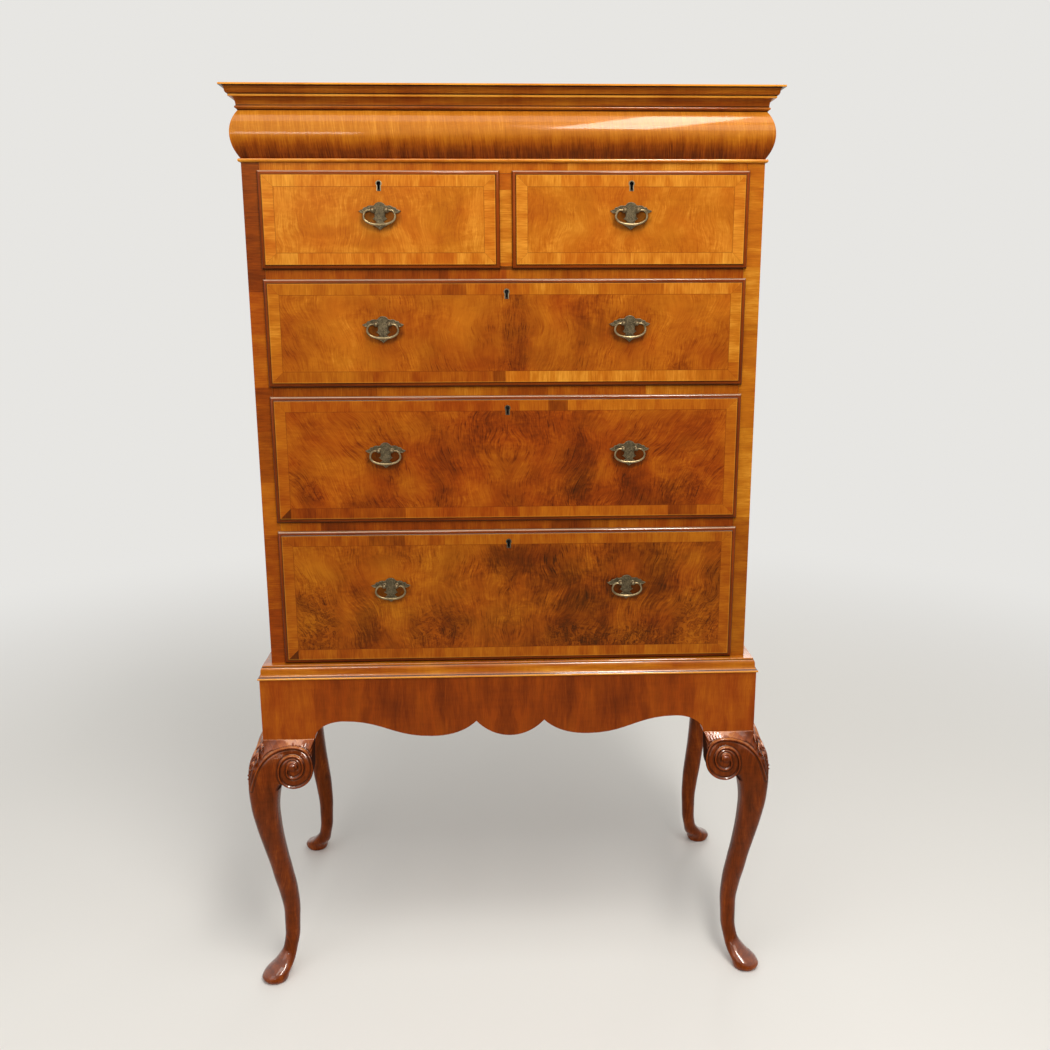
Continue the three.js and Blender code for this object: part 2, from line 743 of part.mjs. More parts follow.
// The cushion frieze, an arc that swells between its two edges
const cushionHalf = cushionHeight / 2 - seam;
const cushionSag = cushionProjection - seam;
const cushionArcRadius = (cushionHalf ** 2 + cushionSag ** 2) / (2 * cushionSag);
const cushionAngle = Math.asin(cushionHalf / cushionArcRadius);
piece('cushion_frieze', mitredMoulding([
  [seam, cushionBottom + seam],
  ...arc(
    [cushionProjection - cushionArcRadius, cushionBottom + cushionHeight / 2],
    [cushionArcRadius, cushionArcRadius], -cushionAngle, cushionAngle, cushionSteps,
  ).slice(1, -1),
  [seam, corniceBottom - seam],
]), walnutVeneer, upperCase);

// The cornice: astragal, cove, fillet, cyma and top fillet
const corniceAt = ([projection, height]) => [
  projection * corniceProjection, corniceBottom + height * corniceHeight,
];
const cymaMiddle = [(filletShares[0] + cymaHeadShares[0]) / 2, (filletShares[1] + cymaHeadShares[1]) / 2];
const cymaRadii = [
  (corniceProjection * (cymaHeadShares[0] - filletShares[0])) / 2,
  (corniceHeight * (cymaHeadShares[1] - filletShares[1])) / 2,
];
const coveRadii = [
  corniceProjection * (coveHeadShares[0] - coveFootShares[0]),
  corniceHeight * (coveHeadShares[1] - coveFootShares[1]),
];
piece('cornice', mitredMoulding([
  [seam, corniceBottom],
  ...arc(corniceAt(astragalShares), [astragalRadius, astragalRadius], -Math.PI / 2, Math.PI / 2, curveSteps),
  ...arc(corniceAt([coveHeadShares[0], coveFootShares[1]]), coveRadii, Math.PI, Math.PI / 2, curveSteps),
  corniceAt([filletShares[0], coveHeadShares[1]]),
  corniceAt(filletShares),
  ...arc(
    corniceAt([filletShares[0], cymaMiddle[1]]), cymaRadii, -Math.PI / 2, 0, curveSteps - 1,
  ).slice(1),
  ...arc(
    corniceAt([cymaHeadShares[0], cymaMiddle[1]]), cymaRadii, Math.PI, Math.PI / 2, curveSteps - 1,
  ).slice(1),
  corniceAt([1, cymaHeadShares[1]]),
  corniceAt([1, 1]),
  [seam, caseTop],
]), walnutSolid, upperCase);

// Drawers

// A keyhole: a round hole over a slot
function keyholeShape(radius, slotHalf, drop) {
  const meet = Math.asin(slotHalf / radius);
  const shape = new THREE.Shape();
  shape.moveTo(-slotHalf, -drop);
  shape.lineTo(slotHalf, -drop);
  shape.absarc(0, 0, radius, meet - Math.PI / 2, Math.PI * 1.5 - meet, false);
  return shape;
}
const linerRadius = keyRadius + linerWall;
const linerSlotHalf = keySlotHalf + linerWall;
const linerDrop = keySlotDrop + linerWall;

// A rectangle inset from the lip's outline, at one depth
function frontRing(size, inset, depth) {
  const half = size.halfWidth - inset;
  return [[-half, depth, inset], [half, depth, inset], [half, depth, size.height - inset],
    [-half, depth, size.height - inset]];
}

// Dovetail outlines on the front end of a drawer side, seen from the side; grow widens them into sockets
function tailShapes(size, grow) {
  const count = Math.floor((size.boxTop - size.boxBottom - tailWidth) / tailPitch) + 1;
  const first = (size.boxBottom + size.boxTop - (count - 1) * tailPitch) / 2;
  return Array.from({ length: count }, (_, i) => {
    const middle = first + i * tailPitch;
    const wide = tailWidth / 2 + grow;
    const waist = wide - tailNarrow;
    const tip = frontBody - tailReach - grow;
    return shapeOf([
      [tip, middle - wide], [frontBody + seam, middle - waist], [frontBody + seam, middle + waist],
      [tip, middle + wide],
    ]);
  });
}

// Sizes of a drawer in its own frame: x from its middle, y from the case front, z from the foot of its lip
function drawerSize(halfWidth, height) {
  const openingHalf = halfWidth - lipOverlap;
  return {
    halfWidth,
    height,
    boxHalf: openingHalf - runningPlay,
    boxBottom: lipOverlap + seam,
    boxTop: height - lipOverlap - runningPlay,
    keyHeight: height - keyDrop,
  };
}

function drawerFront(size, handles) {
  const ovoloDepth = facePride - lipStep - lipEdge;
  const bodyInset = lipOverlap + runningPlay;
  const ovoloWidth = lipWidth - lipStep;
  const ovolo = arc([ovoloWidth, lipEdge], [ovoloWidth, ovoloDepth], Math.PI, Math.PI / 2, curveSteps);
  const front = solid(loft([
    frontRing(size, bodyInset, frontBody),
    frontRing(size, bodyInset, -seam),
    frontRing(size, 0, -seam),
    ...ovolo.map(([inset, rise]) => frontRing(size, inset, -rise)),
    frontRing(size, ovoloWidth, -facePride),
  ]));
  const recess = board(
    [-lockWidth / 2 - seam, lockWidth / 2 + seam],
    [frontBody - lockDepth - seam, frontBody + overrun],
    [size.boxTop - lockHeight - seam, size.boxTop + overrun],
  );
  const keyhole = prism(
    keyholeShape(linerRadius + seam, linerSlotHalf + seam, linerDrop + seam),
    -facePride - overrun, frontBody, (x, z, y) => [x, y, z + size.keyHeight], curveSteps,
  );
  const holeRadius = shankRadius + seam;
  const holeLength = facePride + frontBody + overrun * 2;
  const holes = handles.flatMap(([x, z]) => [-pivotOffset, pivotOffset].map((offset) => solid(
    new THREE.CylinderGeometry(holeRadius, holeRadius, holeLength, turnedSides),
    (u, v, w) => [u + x + offset, v + (frontBody - facePride) / 2, w + z],
  )));
  const sockets = [-1, 1].flatMap((side) => tailShapes(size, seam).map((shape) => {
    const edges = [side * (size.boxHalf + overrun), side * (size.boxHalf - drawerSideThickness - seam)];
    return prism(shape, Math.min(...edges), Math.max(...edges), facingSide);
  }));
  return cut(front, recess, keyhole, ...holes, ...sockets);
}

// Sides with their tails, back and bottom
function drawerBox(size) {
  const start = frontBody + seam;
  const inner = size.boxHalf - drawerSideThickness;
  const bottom = size.boxBottom + drawerBottomRise;
  const sides = [-1, 1].flatMap((side) => {
    const edges = [side * inner, side * size.boxHalf].sort((a, b) => a - b);
    return [
      board(edges, [start, drawerDepth], [size.boxBottom, size.boxTop]),
      ...tailShapes(size, 0).map((shape) => prism(shape, edges[0], edges[1], facingSide)),
    ];
  });
  return join(
    ...sides,
    board([-inner, inner], [start, drawerDepth], [bottom, bottom + drawerBottomThickness]),
    board(
      [-inner, inner],
      [drawerDepth - drawerSideThickness, drawerDepth],
      [bottom, size.boxTop - drawerBackDrop],
    ),
  );
}

// A lock let into the back of a drawer front, with the brass liner of its keyhole
function drawerLock(size) {
  const lockFront = frontBody - lockDepth;
  const lockCase = board([-lockWidth / 2, lockWidth / 2], [lockFront, frontBody],
    [size.boxTop - lockHeight, size.boxTop]);
  const place = (x, z, y) => [x, y, z + size.keyHeight];
  const liner = prism(keyholeShape(linerRadius, linerSlotHalf, linerDrop), -facePride - linerPride,
    lockFront + seam, place, curveSteps);
  const keyway = prism(keyholeShape(keyRadius, keySlotHalf, keySlotDrop), -facePride - overrun,
    frontBody - lockBackWall, place, curveSteps);
  const pocket = board(
    [-boltWidth / 2 - seam, boltWidth / 2 + seam],
    [lockFront + boltSetback - seam, lockFront + boltSetback + boltThickness + seam],
    [size.boxTop - boltHeight - seam, size.boxTop + overrun],
  );
  return cut(join(lockCase, liner), keyway, pocket);
}

function lockBolt(size) {
  const front = frontBody - lockDepth + boltSetback;
  return board(
    [-boltWidth / 2, boltWidth / 2],
    [front, front + boltThickness],
    [size.boxTop - boltHeight, size.boxTop],
  );
}

// Handles, in their own frame: y from the face of the drawer, z from the pivots

function plateShape() {
  const at = (across, up) => [across * plateHalfWidth, up * (up > 0 ? plateRise : plateDrop)];
  const shape = new THREE.Shape();
  shape.moveTo(0, plateRise);
  for (const [controlAcross, controlUp, across, up] of plateCurveShares) {
    shape.quadraticCurveTo(...at(controlAcross, controlUp), ...at(across, up));
  }
  let start = [0, plateRise];
  const mirrored = plateCurveShares.map(([controlAcross, controlUp, across, up]) => {
    const segment = [at(-controlAcross, controlUp), start];
    start = at(-across, up);
    return segment;
  });
  for (const [control, end] of mirrored.toReversed()) {
    shape.quadraticCurveTo(...control, ...end);
  }
  return shape;
}

function handlePlate() {
  const plate = prism(plateShape(), -plateThickness - seam, -seam, facingFront, plateCurveSteps);
  const face = plateThickness + seam;
  const pivot = face + pivotStandoff;
  const back = facePride + frontBody + seam;
  const profile = [
    [0, -back - nutThickness], [shankRadius, -back - nutThickness], [shankRadius, seam],
    [postCollarRadius, seam], [postCollarRadius, face + seam], [postNeckRadius, face + pivotStandoff / 3],
    [postRadius, pivot - bailEndRadius], [postRadius, pivot + bailEndRadius],
    [postNeckRadius, pivot + postRadius], [0, pivot + postRadius + seam],
  ].map(([radius, reach]) => new THREE.Vector2(radius, reach));
  const posts = [-pivotOffset, pivotOffset].flatMap((offset) => [
    solid(new THREE.LatheGeometry(profile, turnedSides), (x, y, z) => [x + offset, -y, z]),
    solid(new THREE.BoxGeometry(nutHalf * 2, nutThickness, nutHalf * 2), (x, y, z) => {
      return [x + offset, y + back + nutThickness / 2, z];
    }),
  ]);
  const sockets = [-1, 1].map((side) => {
    const from = pivotOffset - pinReach - pivotPlay;
    const length = postRadius + pinReach + overrun;
    const radius = bailEndRadius + pivotPlay;
    return solid(
      new THREE.CylinderGeometry(radius, radius, length, turnedSides),
      (x, y, z) => [side * (from + length / 2 + y), z - pivot, x],
    );
  });
  return cut(join(plate, ...posts), ...sockets);
}

function handleBail() {
  const right = bailShares.map(([across, up]) => [across * bailHalfWidth, up * bailDrop]);
  const pinEnd = [pivotOffset - pinReach, 0];
  const half = [pinEnd, ...right];
  const knots = [...half.map(([across, up]) => [-across, up]), [0, -bailDrop], ...half.toReversed()];
  const points = knots.map(([across, up]) => new THREE.Vector3(across, up, 0));
  const curve = new THREE.CatmullRomCurve3(points, false, 'centripetal');
  const path = curve.getSpacedPoints(bailSteps).map((point) => [point.x, point.y]);
  const swelling = bailMiddleRadius - bailEndRadius;
  const swell = (share) => bailEndRadius + swelling * Math.sin(Math.PI * share) ** 2;
  const depth = plateThickness + seam + pivotStandoff;
  return solid(bar(path, () => 0, swell, bailSides), (across, up, out) => [across, out - depth, up]);
}

const plateSolid = handlePlate();
const bailSolid = handleBail();

// One drawer with its box, lock, bolt and handles; handles are [name, x] pairs
function drawer(name, x, lipBottom, halfWidth, height, handleShare, handles) {
  const size = drawerSize(halfWidth, height);
  const group = groupAt(x, caseFront, lipBottom);
  const handleHeight = height * handleShare;
  const front = drawerFront(size, handles.map(([, offset]) => [offset, handleHeight]));
  piece(`${name}_front`, front, walnutVeneer, group);
  piece(`${name}_box`, drawerBox(size), drawerLining, group);
  piece(`${name}_lock`, drawerLock(size), brassLock, group);
  piece(`${name}_bolt`, lockBolt(size), steelBolt, group);
  for (const [handle, offset] of handles) {
    const fitting = groupAt(offset, -facePride, handleHeight, group);
    piece(`plate_${handle}`, plateSolid, brassPlate, fitting);
    piece(`bail_${handle}`, bailSolid, brassBail, fitting);
  }
}

const longDrawerNames = ['drawer_low', 'drawer_middle', 'drawer_high'];
longDrawerNames.forEach((name, i) => {
  const row = name.replace('drawer_', '');
  drawer(name, 0, longLipBottoms[i], lipHalfWidth, longDrawerHeights[i], handleHeightShares[i], [
    [`${row}_left`, -handleOffsets[i]],
    [`${row}_right`, handleOffsets[i]],
  ]);
});
for (const [row, side] of [['top_left', -1], ['top_right', 1]]) {
  drawer(`drawer_${row}`, side * shortDrawerOffset, shortLipBottom, shortLipHalfWidth, shortDrawerHeight,
    handleHeightShares.at(-1), [[row, side * (handleOffsets.at(-1) - shortDrawerOffset)]]);
}

export default chest;
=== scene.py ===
"""Looks for the walnut chest on stand. Lengths are in millimetres until a mesh is made; the frame is in metres."""
import math

import bmesh
import bpy
import numpy as np
from mathutils import Matrix, Vector


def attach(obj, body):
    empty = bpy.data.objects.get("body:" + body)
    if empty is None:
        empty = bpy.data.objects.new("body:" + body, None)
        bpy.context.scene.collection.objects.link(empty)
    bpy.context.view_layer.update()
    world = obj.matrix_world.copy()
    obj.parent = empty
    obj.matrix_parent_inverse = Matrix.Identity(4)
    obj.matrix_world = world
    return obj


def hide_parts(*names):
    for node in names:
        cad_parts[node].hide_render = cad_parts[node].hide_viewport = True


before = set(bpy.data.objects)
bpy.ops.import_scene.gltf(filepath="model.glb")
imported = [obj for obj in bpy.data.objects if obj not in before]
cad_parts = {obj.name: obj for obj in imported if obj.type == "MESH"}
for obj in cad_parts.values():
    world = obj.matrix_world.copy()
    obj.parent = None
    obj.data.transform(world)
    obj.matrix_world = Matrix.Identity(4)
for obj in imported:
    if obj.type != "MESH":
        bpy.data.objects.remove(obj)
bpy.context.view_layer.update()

MM = 0.001
pi, cos, sin = math.pi, math.cos, math.sin


# Formulas on the surface
class Val:
    """A number or colour on a surface, as a node socket."""

    def __init__(self, tree, socket):
        self.tree, self.socket = tree, socket

    def op(self, kind, *others):
        return formula(self.tree, "Math", (self, *others), operation=kind)

    def __add__(self, o): return self.op("ADD", o)
    def __sub__(self, o): return self.op("SUBTRACT", o)
    def __rsub__(self, o): return (self * -1) + o
    def __mul__(self, o): return self.op("MULTIPLY", o)
    def __truediv__(self, o): return self.op("DIVIDE", o)
    def __abs__(self): return self.op("ABSOLUTE")
    def floor(self): return self.op("FLOOR")
    def min(self, o): return self.op("MINIMUM", o)
    def max(self, o): return self.op("MAXIMUM", o)
    def over(self, o): return self.op("GREATER_THAN", o)
    def under(self, o): return self.op("LESS_THAN", o)

    def ramp(self, low, high, a=0.0, b=1.0):
        """a below low, b above high, smooth between."""
        return formula(self.tree, "MapRange", (self, low, high, a, b), interpolation_type="SMOOTHSTEP")

    def near(self, place, inward_shade, outer, depth=1.0):
        """depth within inner of a place, 0 beyond outer, smooth between."""
        return abs(self - place).ramp(inward_shade, outer, depth, 0.0)


def put(tree, socket, value):
    if isinstance(value, Val):
        tree.links.new(value.socket, socket)
    else:
        socket.default_value = value


def formula(tree, kind, inputs=(), out=0, **settings):
    """One output of a new node, its inputs given in their order or by name."""
    node = tree.nodes.new("ShaderNode" + kind)
    for key, value in settings.items():
        setattr(node, key, value)
    for key, value in inputs.items() if isinstance(inputs, dict) else enumerate(inputs):
        put(tree, node.inputs[key], value)
    return Val(tree, node.outputs[out])


class Paint:
    """A material under construction."""

    def __init__(self, name):
        self.mat = bpy.data.materials.new(name)
        self.mat.use_nodes = True
        self.tree = self.mat.node_tree
        self.shader = self.tree.nodes["Principled BSDF"]
        self.x, self.y, self.z = (v * 1000 for v in self.split("TexCoord", "Object"))
        self.nx, self.ny, self.nz = self.split("NewGeometry", "Normal")

    def split(self, kind, out):
        node = self.tree.nodes.new("ShaderNodeSeparateXYZ")
        put(self.tree, node.inputs[0], formula(self.tree, kind, out=out))
        return [Val(self.tree, o) for o in node.outputs]

    def vec(self, *xyz):
        return formula(self.tree, "CombineXYZ", xyz)

    def noise(self, a, b, c=0.0, detail=2.0, rough=0.5, bend=0.0):
        return formula(self.tree, "TexNoise", {"Vector": self.vec(a, b, c), "Scale": 1.0, "Detail": detail,
                                               "Roughness": rough, "Distortion": bend}, "Fac")

    def cells(self, a, b, seed):
        return formula(self.tree, "TexVoronoi", {"Vector": self.vec(a, b, seed), "Scale": 1.0}, "Distance")

    def chance(self, a, seed):
        return formula(self.tree, "TexWhiteNoise", {"Vector": self.vec(a, seed, 0.0)}, "Value", noise_dimensions="2D")

    def pick(self, mask, a, b):
        """b where mask is 1, a where it is 0, for numbers."""
        return formula(self.tree, "Mix", {0: mask, 2: a, 3: b})

    def blend(self, mask, a, b):
        """The same for colours."""
        a, b = (v if isinstance(v, Val) else (*v, 1.0) for v in (a, b))
        return formula(self.tree, "Mix", {0: mask, 6: a, 7: b}, 2, data_type="RGBA")

    def stops(self, value, *stops):
        node = self.tree.nodes.new("ShaderNodeValToRGB")
        put(self.tree, node.inputs[0], value)
        ramp = node.color_ramp
        while len(ramp.elements) < len(stops):
            ramp.elements.new(0.5)
        for e, (at, colour) in zip(ramp.elements, stops):
            e.position, e.color = at, (*colour, 1.0)
        return Val(self.tree, node.outputs["Color"])

    def give(self, **values):
        """Values of the shader, with _ for a space in their names."""
        for key, value in values.items():
            put(self.tree, self.shader.inputs[key.replace("_", " ")], value)

    def done(self, colour, roughness, height, depth, metal=0.0):
        """The finished material, in relief by that height, up to a depth in metres."""
        bump = formula(self.tree, "Bump", {"Strength": 1.0, "Distance": depth, "Height": height})
        self.give(Base_Color=colour, Roughness=roughness, Metallic=metal, Normal=bump)
        return self.mat


# Tones of polished walnut from its darkest lines to its lightest: yellow veneer, red veneer, solid wood
GOLD = ((0.0, (0.030, 0.009, 0.002)), (0.25, (0.115, 0.027, 0.002)), (0.5, (0.28, 0.073, 0.004)),
        (0.75, (0.47, 0.152, 0.008)), (1.0, (0.74, 0.32, 0.035)))
RUSSET = ((0.0, (0.028, 0.006, 0.002)), (0.25, (0.115, 0.015, 0.002)), (0.5, (0.28, 0.044, 0.003)),
          (0.75, (0.47, 0.110, 0.006)), (1.0, (0.74, 0.26, 0.022)))
SOLID = ((0.0, (0.016, 0.004, 0.001)), (0.25, (0.060, 0.009, 0.001)), (0.5, (0.145, 0.022, 0.002)),
         (0.75, (0.30, 0.060, 0.005)), (1.0, (0.52, 0.165, 0.022)))
# The lightest gold is also the colour of a painted highlight on the drawer fronts.
DARK, RED, ARRIS_HIGHLIGHT = RUSSET[0][1], RUSSET[1][1], GOLD[4][1]
WEAR_AND_HIGHLIGHT = (0.85, 0.54, 0.30)
AMBER = (0.9, 0.42, 0.14)
INK = (0.012, 0.004, 0.002)
PINE = ((0.16, 0.068, 0.024), (0.46, 0.25, 0.105))
OAK = ((0.36, 0.175, 0.056), (0.76, 0.43, 0.155))
OLD_TOP = ((0.06, 0.024, 0.010), (0.20, 0.085, 0.032))


def pores_of(p, along, across, seed):
    return p.noise(along / 6, across / 0.5, seed + 9.9, 1.0).ramp(0.60, 0.72)


def straight(p, along, across, seed, wave=14.0):
    """Straight-grained wood: tone about 0 and its pores, for millimetres along and across the grain."""
    bent = across + (p.noise(along / 90, across / 60, seed, 2.0) - 0.5) * wave
    broad = p.noise(along / 150, bent / 16, seed + 3.1, 3.0, 0.55) - 0.5
    lines = p.noise(along / 40, bent / 1.9, seed + 7.7, 2.0, 0.6) - 0.5
    ripple = p.noise(along / 5, across / 38, seed + 5.3, 1.0) - 0.5
    return broad * 0.75 + lines * 0.42 + ripple * 0.16, pores_of(p, along, bent, seed)


def walnut(p, value, gold):
    """Colour of veneer at a tone; gold is its share of yellow."""
    return p.blend(gold, p.stops(value, *RUSSET), p.stops(value, *GOLD))


def steps(value, level, *changes):
    """A level that changes at places along a value."""
    for place, change in changes:
        level = value.over(place) * change + level
    return level


def figured(p, x, z, height, seed, fan, flecks, spots):
    """Figured veneer, nearly matched about x = 0, its lines fanning upwards: tone about 0 and its pores.
    spots are [across, share of the height, half width, half height, depth of the cloud, share of curls]."""
    fold = abs(x)
    leaf = x.over(0) * 0.16 + seed
    flow = fold * (1 - z * (fan / height))
    wx = flow + (p.noise(fold / 105, z / 85, leaf, 1.5) - 0.5) * 52
    wz = z + (p.noise(fold / 75, z / 90, leaf + 20, 2.0) - 0.5) * 44
    cloud = p.noise(wx / 55, wz / 80, leaf + 1.3, 4.0, 0.6) - 0.5
    mottle = p.noise(wx / 5.0, wz / 8.5, leaf + 4.1, 4.0, 0.7) - 0.5
    grain = p.noise(wx / 1.9, wz / 27, leaf + 2.2, 3.0, 0.62) - 0.5
    ripple = p.noise(wx / 26, wz / 4.5, leaf + 3.7, 2.0) - 0.5
    arcs = p.noise(wx / 4.6, wz / 75, leaf + 5.5, 2.0, 0.55) - 0.5
    hatch = p.noise(wx / 1.8, wz / 22, leaf + 6.6, 2.0, 0.55).ramp(0.54, 0.68)
    patch = p.noise(wx / 42, z / 55, leaf + 8.8, 2.0).ramp(0.40, 0.64)
    knots = p.noise(wx / 15, wz / 13, leaf + 12.4, 3.0, 0.6, 1.6) - 0.5
    busy = p.noise(wx / 58, wz / 46, leaf + 15.2, 2.0).ramp(0.36, 0.62, 0.45, 1.25)
    fine = (mottle * 0.27 + grain * 0.40 + ripple * 0.15) * busy
    tone = cloud * 0.60 + fine + arcs * 0.09 - hatch * patch * flecks
    zone = patch * 0.10
    for cx, cz, rx, rz, dark, curl in spots:
        right, up = (x - cx) / rx, (z - cz * height) / rz
        reach = (right * right + up * up + cloud * 3.4 + mottle * 1.6 + grain).ramp(-0.3, 2.6, 1.0, 0.0)
        if dark:
            tone = tone - reach * (hatch * 0.45 + 0.85) * dark
        if curl:
            zone = zone.max(reach * curl)
    tone = tone - (abs(knots).ramp(0.0, 0.045, 0.30, 0.0) - knots * 0.5) * zone
    return tone, pores_of(p, wz, wx, seed)


def lining(p, along, across, seed, tones):
    """Colour and pores of bare wood, with old stains."""
    tone, pores = straight(p, along, across, seed)
    colour = p.stops(tone * 1.5 + 0.5, (0.15, tones[0]), (0.85, tones[1]))
    colour = p.blend(pores * 0.6, colour, tones[0])
    stain = p.noise(p.x / 170, p.y / 150, p.z / 190, 3.0).ramp(0.5, 0.75)
    return p.blend(stain * 0.25, colour, tones[0]), pores


def polish(p, colour, pores, rough=0.30, coat=0.0, top=1.0, facing=(0.1, 0.5), coat_rough=0.08):
    """Shellac: its clear coat grows from coat to top as a face turns up."""
    p.give(Specular_Tint=(*AMBER, 1.0), Specular_IOR_Level=0.4, Coat_IOR=1.75, Coat_Roughness=coat_rough,
           Coat_Weight=p.nz.ramp(*facing, coat, top))
    return p.done(colour, rough, pores * -1, 0.00005)


def blocks(p, along, length, seed, seam=0.35):
    """A number and a seam for each block of a strip, in lengths that vary."""
    place = (along + (p.noise(along / 210, seed, 0.0, 0.0) - 0.5) * 150) / length
    index = place.floor()
    return index, abs((place - index) - 0.5).ramp(0.5 - seam / length, 0.5)


def banding(p, run, out, length, seed, level, spread, gold=0.35):
    """Cross-banded strip: its grain runs across it, in lengths of their own tint. Colour and pores."""
    index, seams = blocks(p, run, length, seed)
    tint = p.chance(index, seed) - 0.5
    broad = p.noise(out / 60, run / 24, index + seed, 3.0, 0.6) - 0.5
    lines = p.noise(out / 26, run / 1.5, index + seed + 3.3, 3.0, 0.65) - 0.5
    value = broad * 0.5 + lines * 0.5 + tint * spread + level
    colour = walnut(p, value, tint * 0.6 + broad + gold)
    return p.blend(seams * 0.35, colour, RED), pores_of(p, out, run, seed)


# Meshes
def link(name, data):
    """A new object in the scene."""
    obj = bpy.data.objects.new(name, data)
    bpy.context.scene.collection.objects.link(obj)
    return obj


def corners(work, points):
    """New vertices at points in millimetres."""
    return [work.verts.new([c * MM for c in q]) for q in points]


def skin(work, rings, capped=True):
    """Quads from ring to ring, and a face over either end."""
    for a, b in zip(rings, rings[1:]):
        for i in range(len(a)):
            work.faces.new((a[i - 1], a[i], b[i], b[i - 1]))
    if capped:
        work.faces.new(rings[0])
        work.faces.new(rings[-1])


def fill(work, *rings):
    """A flat face in a ring; the other rings are holes in it."""
    edges = [work.edges.get((ring[i - 1], ring[i])) for ring in rings for i in range(len(ring))]
    bmesh.ops.triangle_fill(work, edges=edges, use_beauty=True)


def finish_mesh(work, name, material, smooth=30.0):
    """The object of a mesh under construction, smooth up to that angle between faces."""
    bmesh.ops.recalc_face_normals(work, faces=work.faces)
    data = bpy.data.meshes.new(name)
    work.to_mesh(data)
    work.free()
    if smooth:
        data.shade_smooth()
        data.set_sharp_from_angle(angle=math.radians(smooth))
    data.materials.append(material)
    return link(name, data)


def mesh_object(name, verts, faces, material=None, smooth=0.0, weld=True):
    work = bmesh.new()
    made = corners(work, verts)
    for face in faces:
        work.faces.new([made[i] for i in face])
    if weld:
        bmesh.ops.remove_doubles(work, verts=work.verts, dist=1e-6)
    return finish_mesh(work, name, material, smooth)


def put_piece(obj, body, slot, *nodes):
    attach(obj, body)
    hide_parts(*nodes)


def loft(rings):
    """Vertices and faces of a skin over rings, capped at both ends."""
    n = len(rings[0])
    faces = [(a + i, a + (i + 1) % n, a + n + (i + 1) % n, a + n + i)
             for a in range(0, (len(rings) - 1) * n, n) for i in range(n)]
    ends = [tuple(range(n - 1, -1, -1)), tuple(range((len(rings) - 1) * n, len(rings) * n))]
    return [v for ring in rings for v in ring], faces + ends


def arc(cx, cy, rx, ry, a, b, steps):
    return [(cx + rx * cos(a + (b - a) * i / steps), cy + ry * sin(a + (b - a) * i / steps)) for i in range(steps + 1)]


def round_ring(centre, a, b, count, radius=1.0):
    """Points round a centre, on two axes."""
    turns = [2 * pi * k / count for k in range(count)]
    return [tuple(centre + (a * cos(t) + b * sin(t)) * radius) for t in turns]


def tangents(points):
    """Directions of a line of vectors."""
    return [(b - a).normalized() for a, b in zip(points[:1] + points, points[1:] + points[-1:])]


# Sizes shared with the solids
CASE_X, CASE_F, CASE_B = 430.0, -220.0, 240.0
STAND_X, STAND_Y, LEG = 450.0, 240.0, 490.0
STAND_TOP, WAIST_TOP = 604.0, 630.0
LONG = (("drawer_low", 631.0, 243.0), ("drawer_middle", 890.0, 220.0), ("drawer_high", 1126.0, 179.0))
SHORT_Z, SHORT_H, LIP_X, MUNTIN_X = 1321.0, 157.0, 405.0, 10.0
FACE_TOP, CUSHION_Z, CORNICE_Z, TOP_Z = 1490.0, 1496.5, 1570.0, 1608.0
SEAM = 0.3
PROUD, INWARD = 9.0, 14.0  # reach of a drawer front ahead of the case's face and behind it
KEY_DROP, KEY_RADIUS, KEY_HALF, KEY_TAIL, LINER = 21.0, 3.2, 1.8, 11.7, 1.7
HANDLE_X = {"low": 210.0, "middle": 211.0, "high": 208.0, "top": 207.0}
HANDLE_SHARE = {"low": 0.597, "middle": 0.58, "high": 0.587, "top": 0.595}
BAND = 26.0  # width of the fronts' crossbanding


